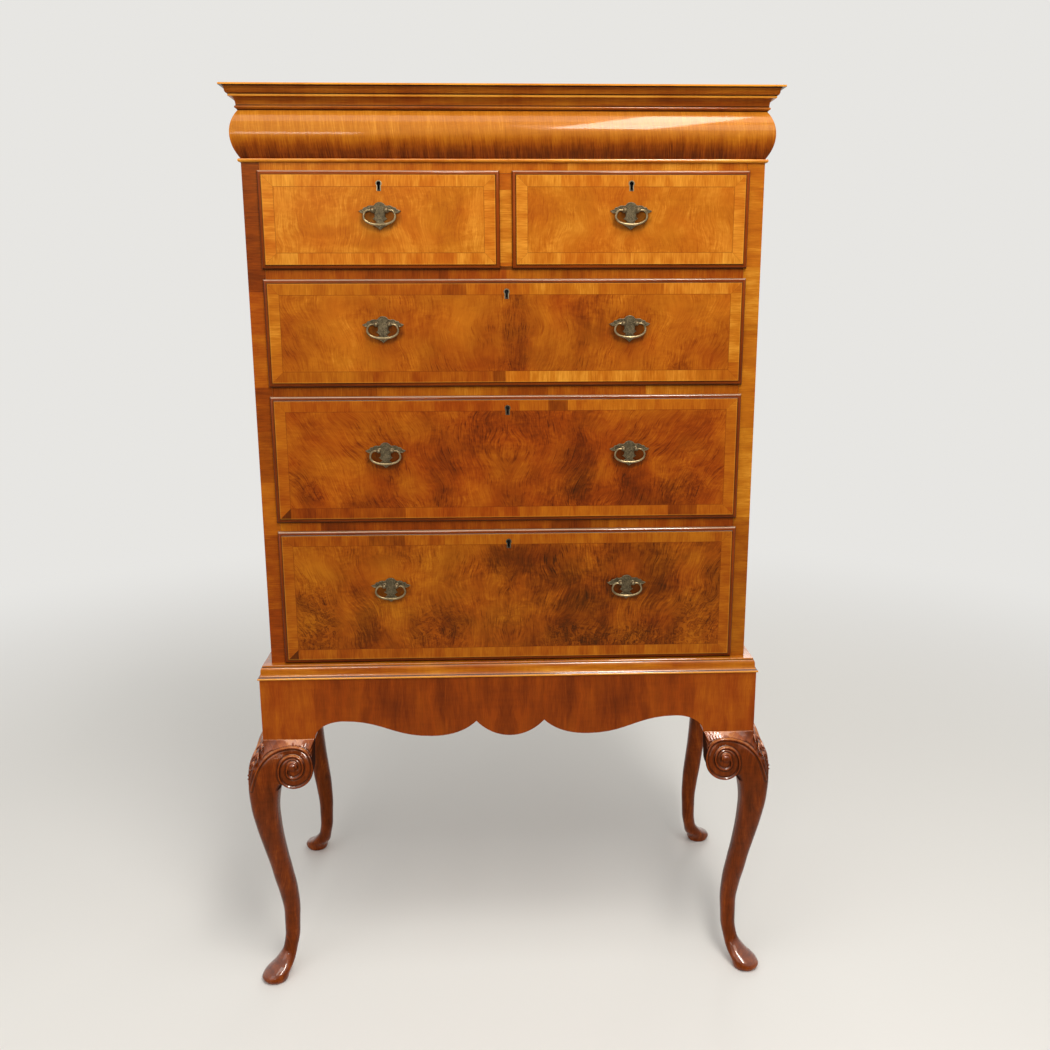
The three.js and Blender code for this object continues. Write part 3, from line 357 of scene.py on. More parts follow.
# Materials of the case
def front_material(name, x0, z0, half, height, seed, style, spots, inlays, handles):
    """Veneered drawer front: figured field, mitred crossband and moulded lip.
    inlays are [from, to, 1 in the top band or 0 in the bottom one, change of tone].
    Waxy dirt and a painted shadow darken the wood under each of the handles, [across, up]."""
    p = Paint(name)
    x, z = p.x - x0, p.z - z0
    wide = half - abs(x)
    tall = z.min(height - z)
    edge = wide.min(tall)
    side = wide.under(tall)
    tone, pores = figured(p, x, z, height, seed, style["fan"], style["flecks"], spots)
    hue = (p.noise(x / 80, z / 60, seed + 31, 2.0) - 0.5) * 1.3 + tone * 0.8
    field = walnut(p, tone * style["contrast"] + style["level"], hue + style["gold"])
    run, out = p.pick(side, x, z), p.pick(side, z, x)
    level = side * 0.02 + style["band"]
    for a, b, top, change in inlays:
        row = z.over(height / 2) if top else z.under(height / 2)
        level = level + row * x.over(a) * x.under(b) * (1 - side) * change
    band, band_pores = banding(p, run, out, 130.0, seed, level, style["blocks"], style["gold"])
    band = p.blend(wide.near(tall, 0.2, 0.6) * 0.3, band, DARK)
    in_band = edge.under(BAND)
    colour = p.blend(in_band, field, band)
    colour = p.blend(edge.near(BAND + 0.1, 0.3, 0.8) * 0.5, colour, RED)
    # Painted highlight: a pale line along the face's edge where the lip steps down to it.
    colour = p.blend(edge.near(8.0, 0.2, 0.9) * 0.3, colour, ARRIS_HIGHLIGHT)
    # Dirt round each handle, centred below it, which is also a painted shadow of the handle.
    for across, up in handles:
        right, rise = (x - across) / 31, (z - up + 13) / 19
        dirt_and_shadow = (right * right + rise * rise + tone).ramp(0.55, 1.5, 0.62, 0.0)
        colour = p.blend(dirt_and_shadow, colour, INK)
    rail_tone, _ = straight(p, run, out, seed + 17, 4.0)
    lip = walnut(p, rail_tone * 0.6 + style["lip"], 0.05)
    # The lip's upward faces are lighter: partly wear, partly a painted highlight.
    lip = p.blend(p.nz.ramp(0.3, 0.9) * 0.6, lip, WEAR_AND_HIGHLIGHT)
    # Painted shade on the lip's downward faces.
    lip = p.blend(p.nz.ramp(-0.1, -0.8) * 0.6, lip, INK)
    colour = p.blend(edge.under(7.2), colour, lip)
    # Painted shade in the quirk where the lip steps down to the face, and along the lip's outer edge.
    crease_shade = edge.near(6.7, 0.3, 1.0, 0.85).max(edge.ramp(0.2, 1.7, 0.75, 0.0))
    colour = p.blend(crease_shade, colour, INK)
    bare, _ = lining(p, p.x, p.z, seed, PINE)
    joint = abs(p.nx).over(0.7) * p.y.over(CASE_F)
    colour = p.blend(p.ny.ramp(0.2, 0.6).max(joint), colour, bare)
    pin = (z - 7) / 34
    inset = p.y - CASE_F - 3
    tail = abs(pin - pin.floor() - 0.5).under(0.38 - inset * 0.009) * inset.over(0)
    colour = p.blend(joint * tail, colour, OAK[1])
    return polish(p, colour, p.pick(in_band, pores, band_pores), 0.28)


def strip_material(name, run_axis, seed, level, spread, gold, foot, *changes):
    """Cross-banded rail or upright of the case front, pine behind.
    It has a painted shadow under a drawer whose foot is at that height."""
    p = Paint(name)
    run, out = (p.x, p.z) if run_axis == "x" else (p.z, p.x)
    colour, pores = banding(p, run, out, 120.0, seed, steps(run, level, *changes), spread, gold)
    # Painted shadow of the drawer's lip along the top of the rail.
    if foot:
        colour = p.blend(p.z.ramp(foot - 3.0, foot - 0.5, 0.0, 0.7), colour, INK)
    behind, _ = lining(p, p.x, p.z + p.y, seed, PINE)
    return polish(p, p.blend(p.ny.ramp(-0.6, -0.4), colour, behind), pores)


def side_material(name, seed, level, gold, *changes):
    """Side of the case: vertical veneer, with the cross-grained stile on its front edge."""
    p = Paint(name)
    leaves, joints = blocks(p, p.y, 150.0, seed)
    tone, pores = straight(p, p.z, p.y + leaves * 41, seed, 30.0)
    tall = walnut(p, tone + 0.55 + (p.chance(leaves, seed) - 0.5) * 0.12, 0.4)
    tall = p.blend(joints * 0.4, tall, DARK)
    stile, stile_pores = banding(p, p.z, p.x, 150.0, seed + 2, steps(p.z, level, *changes), 0.12, gold)
    front = p.ny.ramp(-0.8, -0.6, 1.0, 0.0)
    inside = abs(p.x).ramp(409.0, 411.0, 1.0, 0.0) * (1 - front)
    bare, _ = lining(p, p.y, p.z, seed + 9, PINE)
    colour = p.blend(inside, p.blend(front, tall, stile), bare)
    return polish(p, colour, p.pick(front, pores, stile_pores))


def mould_material(name, seed, level, gold, dark=(), light=()):
    """Moulding, the grain along its length; dark and light are [height, half width] of quirks, darkened by painted
    shade and dirt, and of fillets, lightened by painted highlights.
    """
    p = Paint(name)
    turn = abs(p.nx).ramp(0.69, 0.72)
    run, out = p.pick(turn, p.x, p.y), p.z * 1.3 + p.pick(turn, p.y, p.x) * 0.8
    tone, pores = straight(p, run, out, seed, 6.0)
    patch = p.noise(run / 110, out / 30, seed + 5, 2.0) - 0.5
    value = tone * 0.75 + patch * 0.5 + level
    # Painted highlights along the fillets.
    for height, half in light:
        value = value + p.z.near(height, half * 0.6, half, 0.42)
    colour = walnut(p, value, patch * 1.5 + gold)
    # Painted shade and dirt in the quirks.
    for height, half in dark:
        colour = p.blend(p.z.near(height, half * 0.4, half, 0.9), colour, INK)
    return polish(p, colour, pores, 0.26)


def cushion_material(name, seed):
    """Cushion frieze: upright grain in matched leaves, gold above and dark streaks towards its foot; the change from
    top to foot is partly painted light on the upper curve and painted shade below.
    """
    p = Paint(name)
    run = p.pick(abs(p.nx).ramp(0.55, 0.6), p.x, p.y)
    index, seams = blocks(p, run, 170.0, seed)
    lean = run + p.z * 0.10 + index * 23
    tone, pores = straight(p, p.z, lean, seed, 16.0)
    fine = p.noise(p.z / 26, lean / 1.7, seed + 2, 3.0, 0.65) - 0.5
    edge = (p.noise(run / 22, p.z / 50, seed + 6, 4.0, 0.65) - 0.5) * 34
    # rise lightens and golds the veneer upwards: partly its own streaked tone, partly painted light and shade of the
    # curve.
    rise = (p.z + edge).ramp(CUSHION_Z + 4, CUSHION_Z + 44)
    tint = (p.chance(index, seed) - 0.5) * 0.10
    value = (tone * 0.7 + fine * 0.7) * (1.25 - rise * 0.7) + rise * 0.40 + 0.35 + tint
    colour = walnut(p, value, rise * 0.8 + 0.15)
    colour = p.blend(seams * 0.3, colour, DARK)
    return polish(p, colour, pores, 0.28, 0.0, 0.24, (-0.12, 0.12), 0.06)


def apron_material(name, run_axis, seed):
    """Frieze rail: upright veneer in matched leaves, warmer at its ends."""
    p = Paint(name)
    fold = abs(getattr(p, run_axis) + 8)
    index, seams = blocks(p, fold, 130.0, seed)
    tone, pores = straight(p, p.z, fold + index * 19, seed, 34.0)
    soft = p.noise(fold / 48, p.z / 120, seed + 4, 2.0) - 0.5
    ends = fold.ramp(250.0, 440.0, 0.0, 0.13)
    fine = p.noise(p.z / 24, fold / 1.6, seed + 2, 3.0, 0.65) - 0.5
    tint = (p.chance(index, seed) - 0.5) * 0.08
    value = tone * 0.45 + soft * 0.5 + fine * 0.3 + 0.39 + ends + tint
    colour = walnut(p, value, ends + soft)
    colour = p.blend(seams * 0.35, colour, DARK)
    colour = p.blend(p.nz.ramp(-0.3, -0.8), colour, RED)
    return polish(p, colour, pores)


def leg_material(name, side, end, seed):
    """Solid walnut, with painted shade and dirt in the carving, painted shade on the ear's faces turned to the middle,
    and wear and painted highlights on its ridges and on the knee's upward shelf.
    """
    p = Paint(name)
    tone, pores = straight(p, p.z * 0.9, p.x + p.y * (0.9 * side * end), seed, 30.0)
    mottle = p.noise(p.x / 9, p.y / 9, p.z / 26 + seed, 3.0, 0.6) - 0.5
    value = tone * 0.8 + mottle * 0.4 + 0.44 + p.z.ramp(15.0, 60.0, 0.10, 0.0)
    carved = formula(p.tree, "Attribute", out="Fac", attribute_name="carved")
    # Wear and a painted highlight on the beads' crests, and a painted highlight on the upward faces of the knee's
    # shelf.
    value = value + carved.ramp(-0.2, -0.8) * 0.14 + p.nz.ramp(0.4, 0.85) * p.z.ramp(440.0, 460.0) * 0.50
    # Painted shade: faces of the knees turned towards the stand's middle are darkened and reflect less.
    inward_shade = (p.nx * -side).max(p.ny * -end).ramp(0.45, 0.8) * p.z.over(400)
    # Painted shade and dirt in the carved grooves, and painted shade on the faces turned to the middle.
    dark = (carved.ramp(0.1, 0.9) * 0.55).max(inward_shade * 0.85)
    mat = polish(p, p.blend(dark, p.stops(value, *SOLID), INK), pores, 0.26, 0.03, facing=(0.35, 0.8))
    p.give(Specular_IOR_Level=(1 - inward_shade) * 0.28)
    return mat


def lining_material(name, tones, seed, along, board=0.0):
    """Unpolished wood of the hidden parts, in boards of about that width."""
    p = Paint(name)
    run, out = getattr(p, along), (p.x if along == "z" else p.z) + (p.x if along == "y" else p.y) * 0.7
    if along == "y":
        crosswise = abs(p.ny).over(0.7)
        run, out = p.pick(crosswise, run, p.x), p.pick(crosswise, out, p.z)
    if board:
        index, seams = blocks(p, out, board, seed, 2.0)
        out = out + index * 37
    colour, pores = lining(p, run, out, seed, tones)
    if board:
        knots = p.cells(run / 230, out / 75, seed).ramp(0.03, 0.10, 0.75, 0.0)
        for mask, dark in ((knots, tones[0]), (p.chance(index, seed) * 0.6, tones[0]), (seams * 0.85, INK)):
            colour = p.blend(mask, colour, dark)
    p.give(Specular_IOR_Level=0.1)
    return p.done(colour, 0.72, pores * -1, 0.0001)


def brass_material(name, bright, dull, dirt, rough, seed, punched=False, keyhole=None):
    """Aged metal; punched gives it an engraved face, and keyhole is (x, z) of a hole painted black as its shade."""
    p = Paint(name)
    cloud = p.noise(p.x / 9, p.y / 9, p.z / 9 + seed, 4.0, 0.65)
    colour = p.stops(cloud, (0.32, dull), (0.70, bright))
    spots = p.noise(p.x / 1.6, p.y / 1.6, p.z / 1.6 + seed, 2.0).ramp(0.56, 0.68)
    colour = p.blend(spots * 0.35, colour, dirt)
    height = p.noise(p.x / 1.1, p.y / 1.1, p.z / 1.1, 2.0) * 0.4
    if punched:
        # The raised rim is lighter: partly polished by wear, partly a painted highlight.
        rim = (CASE_F - PROUD - p.y).ramp(1.62, 1.9)
        colour = p.blend(rim * 0.7, p.blend(0.45, colour, dirt), bright)
        scrolls = abs(p.noise(p.x / 3.4, p.z / 3.0, seed, 1.0, 0.5, 1.2) - 0.5).ramp(0.01, 0.09)
        dots = p.cells(p.x / 1.7, p.z / 1.7, seed).ramp(0.18, 0.42)
        colour = p.blend((1 - scrolls) * 0.6, colour, bright)
        colour = p.blend((1 - dots) * scrolls * 0.6, colour, dirt)
        height = height + dots - scrolls
    mat = p.done(colour, cloud.ramp(0.3, 0.7, rough + 0.14, rough), height, 0.00012, metal=1.0)
    if keyhole:
        # Painted shade: the keyhole and the liner's bore are black and not metal, and the rim's edge round the hole
        # with them, as dirt and painted shade.
        across, up = abs(p.x - keyhole[0]), p.z - keyhole[1]
        hole = (across.under(2.5) * up.under(0) * up.over(-12.4)).max((across * across + up * up).under(15.0))
        hole_shade = hole.max(p.y.over(CASE_F - PROUD)) * p.y.under(CASE_F + 12.8)
        p.give(Base_Color=p.blend(hole_shade, colour, INK), Metallic=1 - hole_shade)
    return mat


# Mouldings, mitred round the front and both sides
def moulding(name, profile, material, slot, node):
    """A profile of (out, up) carried round the case."""
    stations = ((-1, CASE_B, 0), (-1, CASE_F, 1), (1, CASE_F, 1), (1, CASE_B, 0))
    rings = [[(side * (CASE_X + out), depth - mitre * out, up) for out, up in profile]
             for side, depth, mitre in stations]
    put_piece(mesh_object(name, *loft(rings), material, 28.0), "case", slot, node)


cornice_h, cornice_p = TOP_Z - CORNICE_Z, 24.0
cove_foot, cove_head, fillet, cyma = (0.1, 0.21), (0.35, 0.52), (0.5, 0.61), (0.85, 0.92)
at = lambda s: (s[0] * cornice_p, CORNICE_Z + s[1] * cornice_h)
mid = (fillet[1] + cyma[1]) / 2
radii = ((cyma[0] - fillet[0]) / 2 * cornice_p, (cyma[1] - fillet[1]) / 2 * cornice_h)
profile = [(SEAM, CORNICE_Z)]
profile += arc(*at((0.1, 0.12)), 2.0, 2.0, -pi / 2, pi / 2, 12)
profile += arc(*at((cove_head[0], cove_foot[1])), cornice_p * (cove_head[0] - cove_foot[0]),
               cornice_h * (cove_head[1] - cove_foot[1]), pi, pi / 2, 12)
profile += [at((fillet[0], cove_head[1])), at(fillet)]
profile += arc(*at((fillet[0], mid)), *radii, -pi / 2, 0, 8)[1:]
profile += arc(*at((cyma[0], mid)), *radii, pi, pi / 2, 8)[1:]
profile += [at((1.0, cyma[1])), (24.0, TOP_Z - 0.6), (23.4, TOP_Z), (SEAM, TOP_Z)]
moulding("cornice_moulding", profile, mould_material("cornice wood", 31.0, 0.56, 0.5,
         ((CORNICE_Z + 1.0, 1.2), (CORNICE_Z + 7.6, 1.2), (CORNICE_Z + 23.4, 1.1), (CORNICE_Z + 34.6, 1.0)),
         ((CORNICE_Z + 21.5, 2.4), (CORNICE_Z + 36.6, 1.6))),
         "walnut_solid", "cornice")

half_h = (CORNICE_Z - CUSHION_Z) / 2 - SEAM
sag = 13.0 - SEAM
big = (half_h ** 2 + sag ** 2) / (2 * sag)
turn = math.asin(half_h / big)
profile = [(SEAM, CUSHION_Z + SEAM)]
profile += arc(13.0 - big, (CORNICE_Z + CUSHION_Z) / 2, big, big, -turn, turn, 40)[1:-1]
profile += [(SEAM, CORNICE_Z - SEAM)]
moulding("cushion_moulding", profile, cushion_material("cushion veneer", 5.0), "walnut_veneer", "cushion_frieze")

neck_foot = FACE_TOP + SEAM
profile = [(SEAM, neck_foot), (1.5, neck_foot)]
profile += arc(2.25, (neck_foot + CUSHION_Z) / 2, 2.25, (CUSHION_Z - neck_foot) / 2 - SEAM, -pi / 2, pi / 2, 12)
profile += [(1.5, CUSHION_Z), (SEAM, CUSHION_Z)]
moulding("neck_moulding", profile, mould_material("neck wood", 41.0, 0.86, 0.6), "walnut_solid", "neck_bead")

foot, bead, neck, fil = STAND_TOP + SEAM, 4.4, 20.6, 14.5
ogee = WAIST_TOP - 3.0 - foot - bead - SEAM
middle = foot + bead + SEAM + ogee / 2
profile = [(SEAM, foot)]
profile += arc(23.0 - bead / 2, foot + bead / 2, bead / 2, bead / 2, -pi / 2, pi / 2, 12)
profile += [(neck, foot + bead + SEAM)]
profile += arc(neck, middle, (neck - fil) / 2, ogee / 2, -pi / 2, -pi, 8)[1:]
profile += arc(fil, middle, (neck - fil) / 2, ogee / 2, 0, pi / 2, 8)[1:]
profile += [(fil, WAIST_TOP - 0.5), (fil - 0.5, WAIST_TOP), (SEAM, WAIST_TOP)]
moulding("waist_moulding_run", profile, mould_material("waist wood", 47.0, 0.68, 0.6,
         ((foot + bead + 0.4, 1.1), (WAIST_TOP - 3.2, 0.7)), ((foot + 2.2, 1.6),)), "walnut_solid", "waist_moulding")


# Drawer fronts
def keyhole():
    """Outline of the hole round the lock's liner."""
    radius, half, drop = KEY_RADIUS + LINER + SEAM, KEY_HALF + LINER + SEAM, KEY_TAIL + SEAM
    meet = math.asin(half / radius)
    return [(-half, -drop), (half, -drop)] + arc(0, 0, radius, radius, meet - pi / 2, 1.5 * pi - meet, 20)


def drawer_front(node, body, x0, z0, half, height, material):
    """The lipped front, open at the keyhole; its section is (inset, depth)."""
    section = [(5.0, INWARD), (5.0, -SEAM), (0.0, -SEAM), (0.0, -2.6), (0.4, -3.0)]
    section += arc(6.4, -3.0, 6.4, 4.4, pi, 1.5 * pi, 10)[1:]
    section += [(6.4, -8.6), (6.8, -PROUD)]
    work = bmesh.new()
    rings = []
    for inset, depth in section:
        h = half - inset
        ring = ((-h, inset), (h, inset), (h, height - inset), (-h, height - inset))
        rings.append(corners(work, [(x0 + a, CASE_F + depth, z0 + b) for a, b in ring]))
    skin(work, rings, capped=False)
    key_z = z0 + height - KEY_DROP
    holes = [corners(work, [(x0 + a, CASE_F + depth, key_z + b) for a, b in keyhole()])
             for depth in (-PROUD, INWARD)]
    skin(work, holes, capped=False)
    fill(work, rings[-1], holes[0])
    fill(work, rings[0], holes[1])
    put_piece(finish_mesh(work, node + "_veneered", material, 32.0), body, "walnut_veneer", node)


KEYS = ("level", "contrast", "fan", "flecks", "gold", "band", "blocks", "lip")
# The levels rise from the low drawer to the top ones: partly each veneer's own tone, partly painted light falling off
# downwards.
STYLES = {
    "low": (0.51, 1.15, 0.25, 0.16, 0.60, 0.56, 0.16, 0.31),
    "middle": (0.55, 1.10, 0.30, 0.16, 0.22, 0.58, 0.16, 0.32),
    "high": (0.64, 1.05, 0.12, 0.18, 0.40, 0.66, 0.16, 0.34),
    "top": (0.80, 0.80, 0.00, 0.14, 0.45, 0.83, 0.08, 0.40),
}
SPOTS = {
    "drawer_low": (
        (68, 0.70, 85, 55, 0.15, 0), (-255, 0.32, 24, 62, 0.17, 0.2), (-124, 0.25, 42, 34, 0.07, 0.6),
        (267, 0.53, 30, 115, 0.13, 0), (372, 0.75, 30, 60, 0.10, 0), (125, 0.17, 55, 28, 0.08, 0.7),
        (200, 0.50, 210, 110, 0.09, 0), (-345, 0.30, 30, 75, 0.06, 0.9), (235, 0.14, 45, 30, 0, 1.0),
        (340, 0.25, 40, 60, 0, 0.8), (-185, 0.55, 60, 45, -0.10, 0), (-330, 0.75, 50, 45, -0.06, 0),
        (330, 0.12, 60, 25, -0.10, 0)),
    "drawer_middle": (
        (200, 0.20, 110, 32, 0.16, 0), (110, 0.5, 260, 120, 0.07, 0), (120, 0.40, 28, 52, 0.11, 0.2),
        (-108, 0.27, 28, 45, 0.12, 0), (42, 0.80, 95, 25, 0.10, 0), (-341, 0.25, 20, 20, 0.09, 0.5),
        (-200, 0.14, 75, 14, 0.10, 0.3), (-307, 0.45, 32, 60, -0.10, 0), (-61, 0.15, 30, 40, -0.11, 0),
        (73, 0.62, 36, 35, -0.09, 0), (322, 0.35, 30, 50, -0.10, 0.4)),
    "drawer_high": (
        (14, 0.50, 18, 120, 0.15, 0.2), (0, 0.50, 120, 130, 0.06, 0), (148, 0.60, 36, 40, 0.11, 0),
        (-348, 0.55, 30, 50, 0.08, 0), (292, 0.16, 18, 16, 0.14, 0.4), (-280, 0.35, 60, 45, -0.09, 0),
        (-90, 0.70, 40, 40, -0.07, 0)),
    "drawer_top_left": ((-80, 0.38, 45, 8, 0.12, 0), (-25, 0.28, 45, 8, 0.12, 0), (120, 0.60, 25, 50, 0.07, 0)),
    "drawer_top_right": ((0, 0.50, 260, 140, 0.05, 0), (-150, 0.50, 22, 70, 0.12, 0), (60, 0.25, 70, 12, 0.06, 0)),
}
INLAYS = {
    "drawer_low": ((-405, -379, 0, -0.36), (-246, -183, 1, -0.15), (40, 160, 0, 0.05)),
    "drawer_middle": ((-405, -379, 0, -0.42), (-379, -180, 0, -0.14), (70, 104, 1, -0.22), (104, 405, 1, 0.05),
                      (282, 333, 0, -0.20)),
    "drawer_high": ((-109, -67, 1, -0.20), (-405, -109, 1, -0.06), (265, 405, 1, 0.13), (-24, -3, 0, -0.28),
                    (-405, -24, 0, -0.10), (-3, 325, 0, 0.10)),
}
SHORT_HALF = (LIP_X - MUNTIN_X) / 2
DRAWERS = [(n, 0.0, z, LIP_X, h, n.split("_")[1]) for n, z, h in LONG]
DRAWERS += [(f"drawer_top_{hand}", side * (MUNTIN_X + SHORT_HALF), SHORT_Z, SHORT_HALF, SHORT_H, "top")
            for side, hand in ((-1, "left"), (1, "right"))]
for i, (name, x0, z0, half, height, row) in enumerate(DRAWERS):
    style = dict(zip(KEYS, STYLES[row]))
    handles = [(side * HANDLE_X[row] - x0, HANDLE_SHARE[row] * height) for side in (-1, 1) if side * x0 >= 0]
    mat = front_material(name + " veneer", x0, z0, half, height, 3.0 + 13.7 * i, style, SPOTS[name],
                         INLAYS.get(name, ()), handles)
    drawer_front(name + "_front", name, x0, z0, half, height, mat)


# Handles
PLATE_X, PLATE_UP, PLATE_DOWN = 35.0, 13.3, 31.0
# Curves from the plate's top to its foot: control point and end, as shares of its sizes
PLATE = [(0.13, 0.99, 0.21, 0.8), (0.25, 0.57, 0.36, 0.58), (0.53, 0.69, 0.63, 0.39), (0.76, 0.45, 0.79, 0.15),
         (0.9, 0.05, 1, -0.02), (0.87, -0.16, 0.75, -0.15), (0.63, -0.13, 0.58, -0.05), (0.39, -0.03, 0.27, -0.1),
         (0.24, -0.2, 0.25, -0.3), (0.27, -0.39, 0.35, -0.42), (0.21, -0.5, 0.16, -0.6), (0.29, -0.64, 0.34, -0.77),
         (0.18, -0.81, 0, -1)]


def plate_outline(steps=6):
    size = lambda a, u: (a * PLATE_X, u * (PLATE_UP if u > 0 else PLATE_DOWN))
    half, start = [], (0.0, PLATE_UP)
    for ca, cu, a, u in PLATE:
        c, e = size(ca, cu), size(a, u)
        for k in range(steps):
            t = k / steps
            half.append(tuple((1 - t) ** 2 * s + 2 * t * (1 - t) * m + t * t * q for s, m, q in zip(start, c, e)))
        start = e
    return half + [(0.0, -PLATE_DOWN)] + [(-a, u) for a, u in half[:0:-1]]


def inset_loop(points, by):
    """The closed outline moved inwards; its area tells which way its points run."""
    after = points[1:] + points[:1]
    turn = 1 if sum(ax * by_ - bx * ay for (ax, ay), (bx, by_) in zip(points, after)) > 0 else -1
    out = []
    for (ax, ay), (bx, by_), (cx, cy) in zip(points[-1:] + points, points, after):
        nx, ny = -(cy - ay) * turn, (cx - ax) * turn
        length = math.hypot(nx, ny) or 1.0
        out.append((bx + nx / length * by, by_ + ny / length * by))
    return out


def flat_plate(work, outline, levels, x0, z0, face):
    """A thin plate: rings of (inset, height above the drawer), filled behind and before."""
    rings = [corners(work, [(x0 + a, face - rise, z0 + b) for a, b in inset_loop(outline, inset)])
             for inset, rise in levels]
    skin(work, rings, capped=False)
    fill(work, rings[0])
    fill(work, rings[-1])


def turned(work, profile, x0, z0, face):
    """A turned post standing out from the drawer: profile is (radius, height)."""
    across, up = Vector((1, 0, 0)), Vector((0, 0, 1))
    skin(work, [corners(work, round_ring(Vector((x0, face - rise, z0)), across, up, 20, radius))
                for radius, rise in profile])


def tube(work, path, radii, sides):
    """A round bar along points in millimetres."""
    rings = []
    for q, along, radius in zip(path, tangents(path), radii):
        side = Vector((0, 1, 0)).cross(along).normalized()
        rings.append(corners(work, round_ring(q, side, along.cross(side), sides, radius)))
    skin(work, rings)


def curve_points(knots, count):
    """Smooth evenly spaced points through knots."""
    pts = [Vector(k) for k in knots]
    pts = [pts[0] * 2 - pts[1]] + pts + [pts[-1] * 2 - pts[-2]]
    fine = []
    for a, b, c, d in zip(pts, pts[1:], pts[2:], pts[3:]):
        for k in range(24):
            t = k / 24
            bend, curl = 2 * a - 5 * b + 4 * c - d, 3 * b - a - 3 * c + d
            fine.append(0.5 * ((2 * b) + (c - a) * t + bend * t * t + curl * t ** 3))
    fine.append(pts[-2])
    lengths = np.cumsum([0] + [(q - p).length for p, q in zip(fine, fine[1:])])
    spots = np.linspace(0, lengths[-1], count)
    return [Vector(np.interp(s, lengths, [f[k] for f in fine]) for k in range(3)) for s in spots]


BAIL = [(0.6, 0), (0.77, -0.01), (0.92, -0.15), (1, -0.4), (0.95, -0.63), (0.75, -0.83), (0.4, -0.965)]
BAIL_X, BAIL_DOWN, BAIL_END, BAIL_OUT, BAIL_POINTS = 25.8, 23.0, 8.0, 9.6, 64
POST_X, NUT_HALF, NUT_THICK = 11.0, 5, 3
PLATE_LEVELS = ((0.0, SEAM), (0.0, 1.3), (0.25, 1.75), (0.7, 1.95), (1.1, 1.6), (1.5, 1.55))
POST = ((2.4, -INWARD - PROUD - 3.3), (2.4, 1.0), (4.4, 1.2), (4.4, 2.0), (4.0, 2.7), (2.7, 3.4), (2.5, 4.6),
        (2.7, 6.0), (3.5, 7.4), (3.9, 8.6), (4.0, 9.6), (3.8, 10.8), (3.1, 12.2), (1.8, 13.3), (0.5, 13.75))
plate_brass = brass_material("aged plate brass", (0.22, 0.17, 0.095), (0.085, 0.064, 0.038), (0.022, 0.017, 0.011),
                             0.36, 2.0, True)
bail_brass = brass_material("worn bail brass", (0.38, 0.285, 0.15), (0.14, 0.105, 0.055), (0.05, 0.037, 0.02),
                            0.26, 5.0)
outline = plate_outline()
face = CASE_F - PROUD
for name, x0, z0, half, height, row in DRAWERS:
    for side, hand in ((-1, "left"), (1, "right")):
        if side * x0 < 0:
            continue
        hx, hz = side * HANDLE_X[row], z0 + height * HANDLE_SHARE[row]
        tag = f"{row}_{hand}"
        work = bmesh.new()
        flat_plate(work, outline, PLATE_LEVELS, hx, hz, face)
        for dx in (-POST_X, POST_X):
            turned(work, POST, hx + dx, hz, face)
            skin(work, [corners(work, [(hx + dx + a * NUT_HALF, CASE_F + depth + SEAM, hz + b * NUT_HALF)
                                       for a, b in ((-1, -1), (1, -1), (1, 1), (-1, 1))])
                        for depth in (INWARD, INWARD + NUT_THICK)])
        put_piece(finish_mesh(work, "handle_plate_" + tag, plate_brass), name, "brass_plate", "plate_" + tag)
        right = [(BAIL_END, 0.0)] + [(a * BAIL_X, u * BAIL_DOWN) for a, u in BAIL]
        knots = [(-a, u) for a, u in right] + [(0.0, -BAIL_DOWN)] + right[::-1]
        path = curve_points([(hx + a, face - BAIL_OUT, hz + u) for a, u in knots], BAIL_POINTS)
        radii = [1.4 + 0.85 * sin(pi * i / (BAIL_POINTS - 1)) ** 2 for i in range(BAIL_POINTS)]
        work = bmesh.new()
        tube(work, path, radii, 14)
        put_piece(finish_mesh(work, "handle_bail_" + tag, bail_brass), f"bail_{tag}_body", "brass_bail", "bail_" + tag)

# Legs
KNEE, THICK, STEM = 29.0, 50.0, LEG - SEAM
# Station by station up the leg: share of its height, outer corner and thickness as shares of the knee's, squareness
STATIONS = ((0, 0.83, 0.86, 2), (0.016, 1, 1.01, 2), (0.035, 0.83, 0.98, 2), (0.061, 0.24, 0.76, 2.1),
            (0.106, -0.31, 0.54, 2.2), (0.169, -0.46, 0.56, 2.1), (0.247, -0.46, 0.6, 2.1), (0.341, -0.27, 0.69, 2.2),
            (0.41, -0.05, 0.74, 2.3), (0.476, 0.12, 0.74, 2.5), (0.543, 0.345, 0.78, 2.6), (0.653, 0.71, 0.89, 2.8),
            (0.745, 0.93, 1, 3.2), (0.822, 1, 1.18, 3.6), (0.884, 0.9, 1.57, 4), (0.939, 0.48, 1.71, 5),
            (0.98, 0.17, 1.6, 8), (1, 0, 1.46, 14))
EAR_X, EAR_Z, EAR_R, BLOCK = 54.8, LEG - 45.6, 34.5, 93.0
EAR_SHARES = (1, 1.045, 1.1, 0.71, 0.57, 0.56, 0.565, 0.27, 0.255, 0.2)
EAR_BACK, EAR_FRONT, QUARTER = -9.5, 29.5, 12
FACE = ((0, 0.49), (19, 0.547), (30, 0.72), (43, 0.89), (57, 0.97), (75, 1), (95, 0.94), (120, 0.8))
BEAD, EYE = 2.1, 7.0


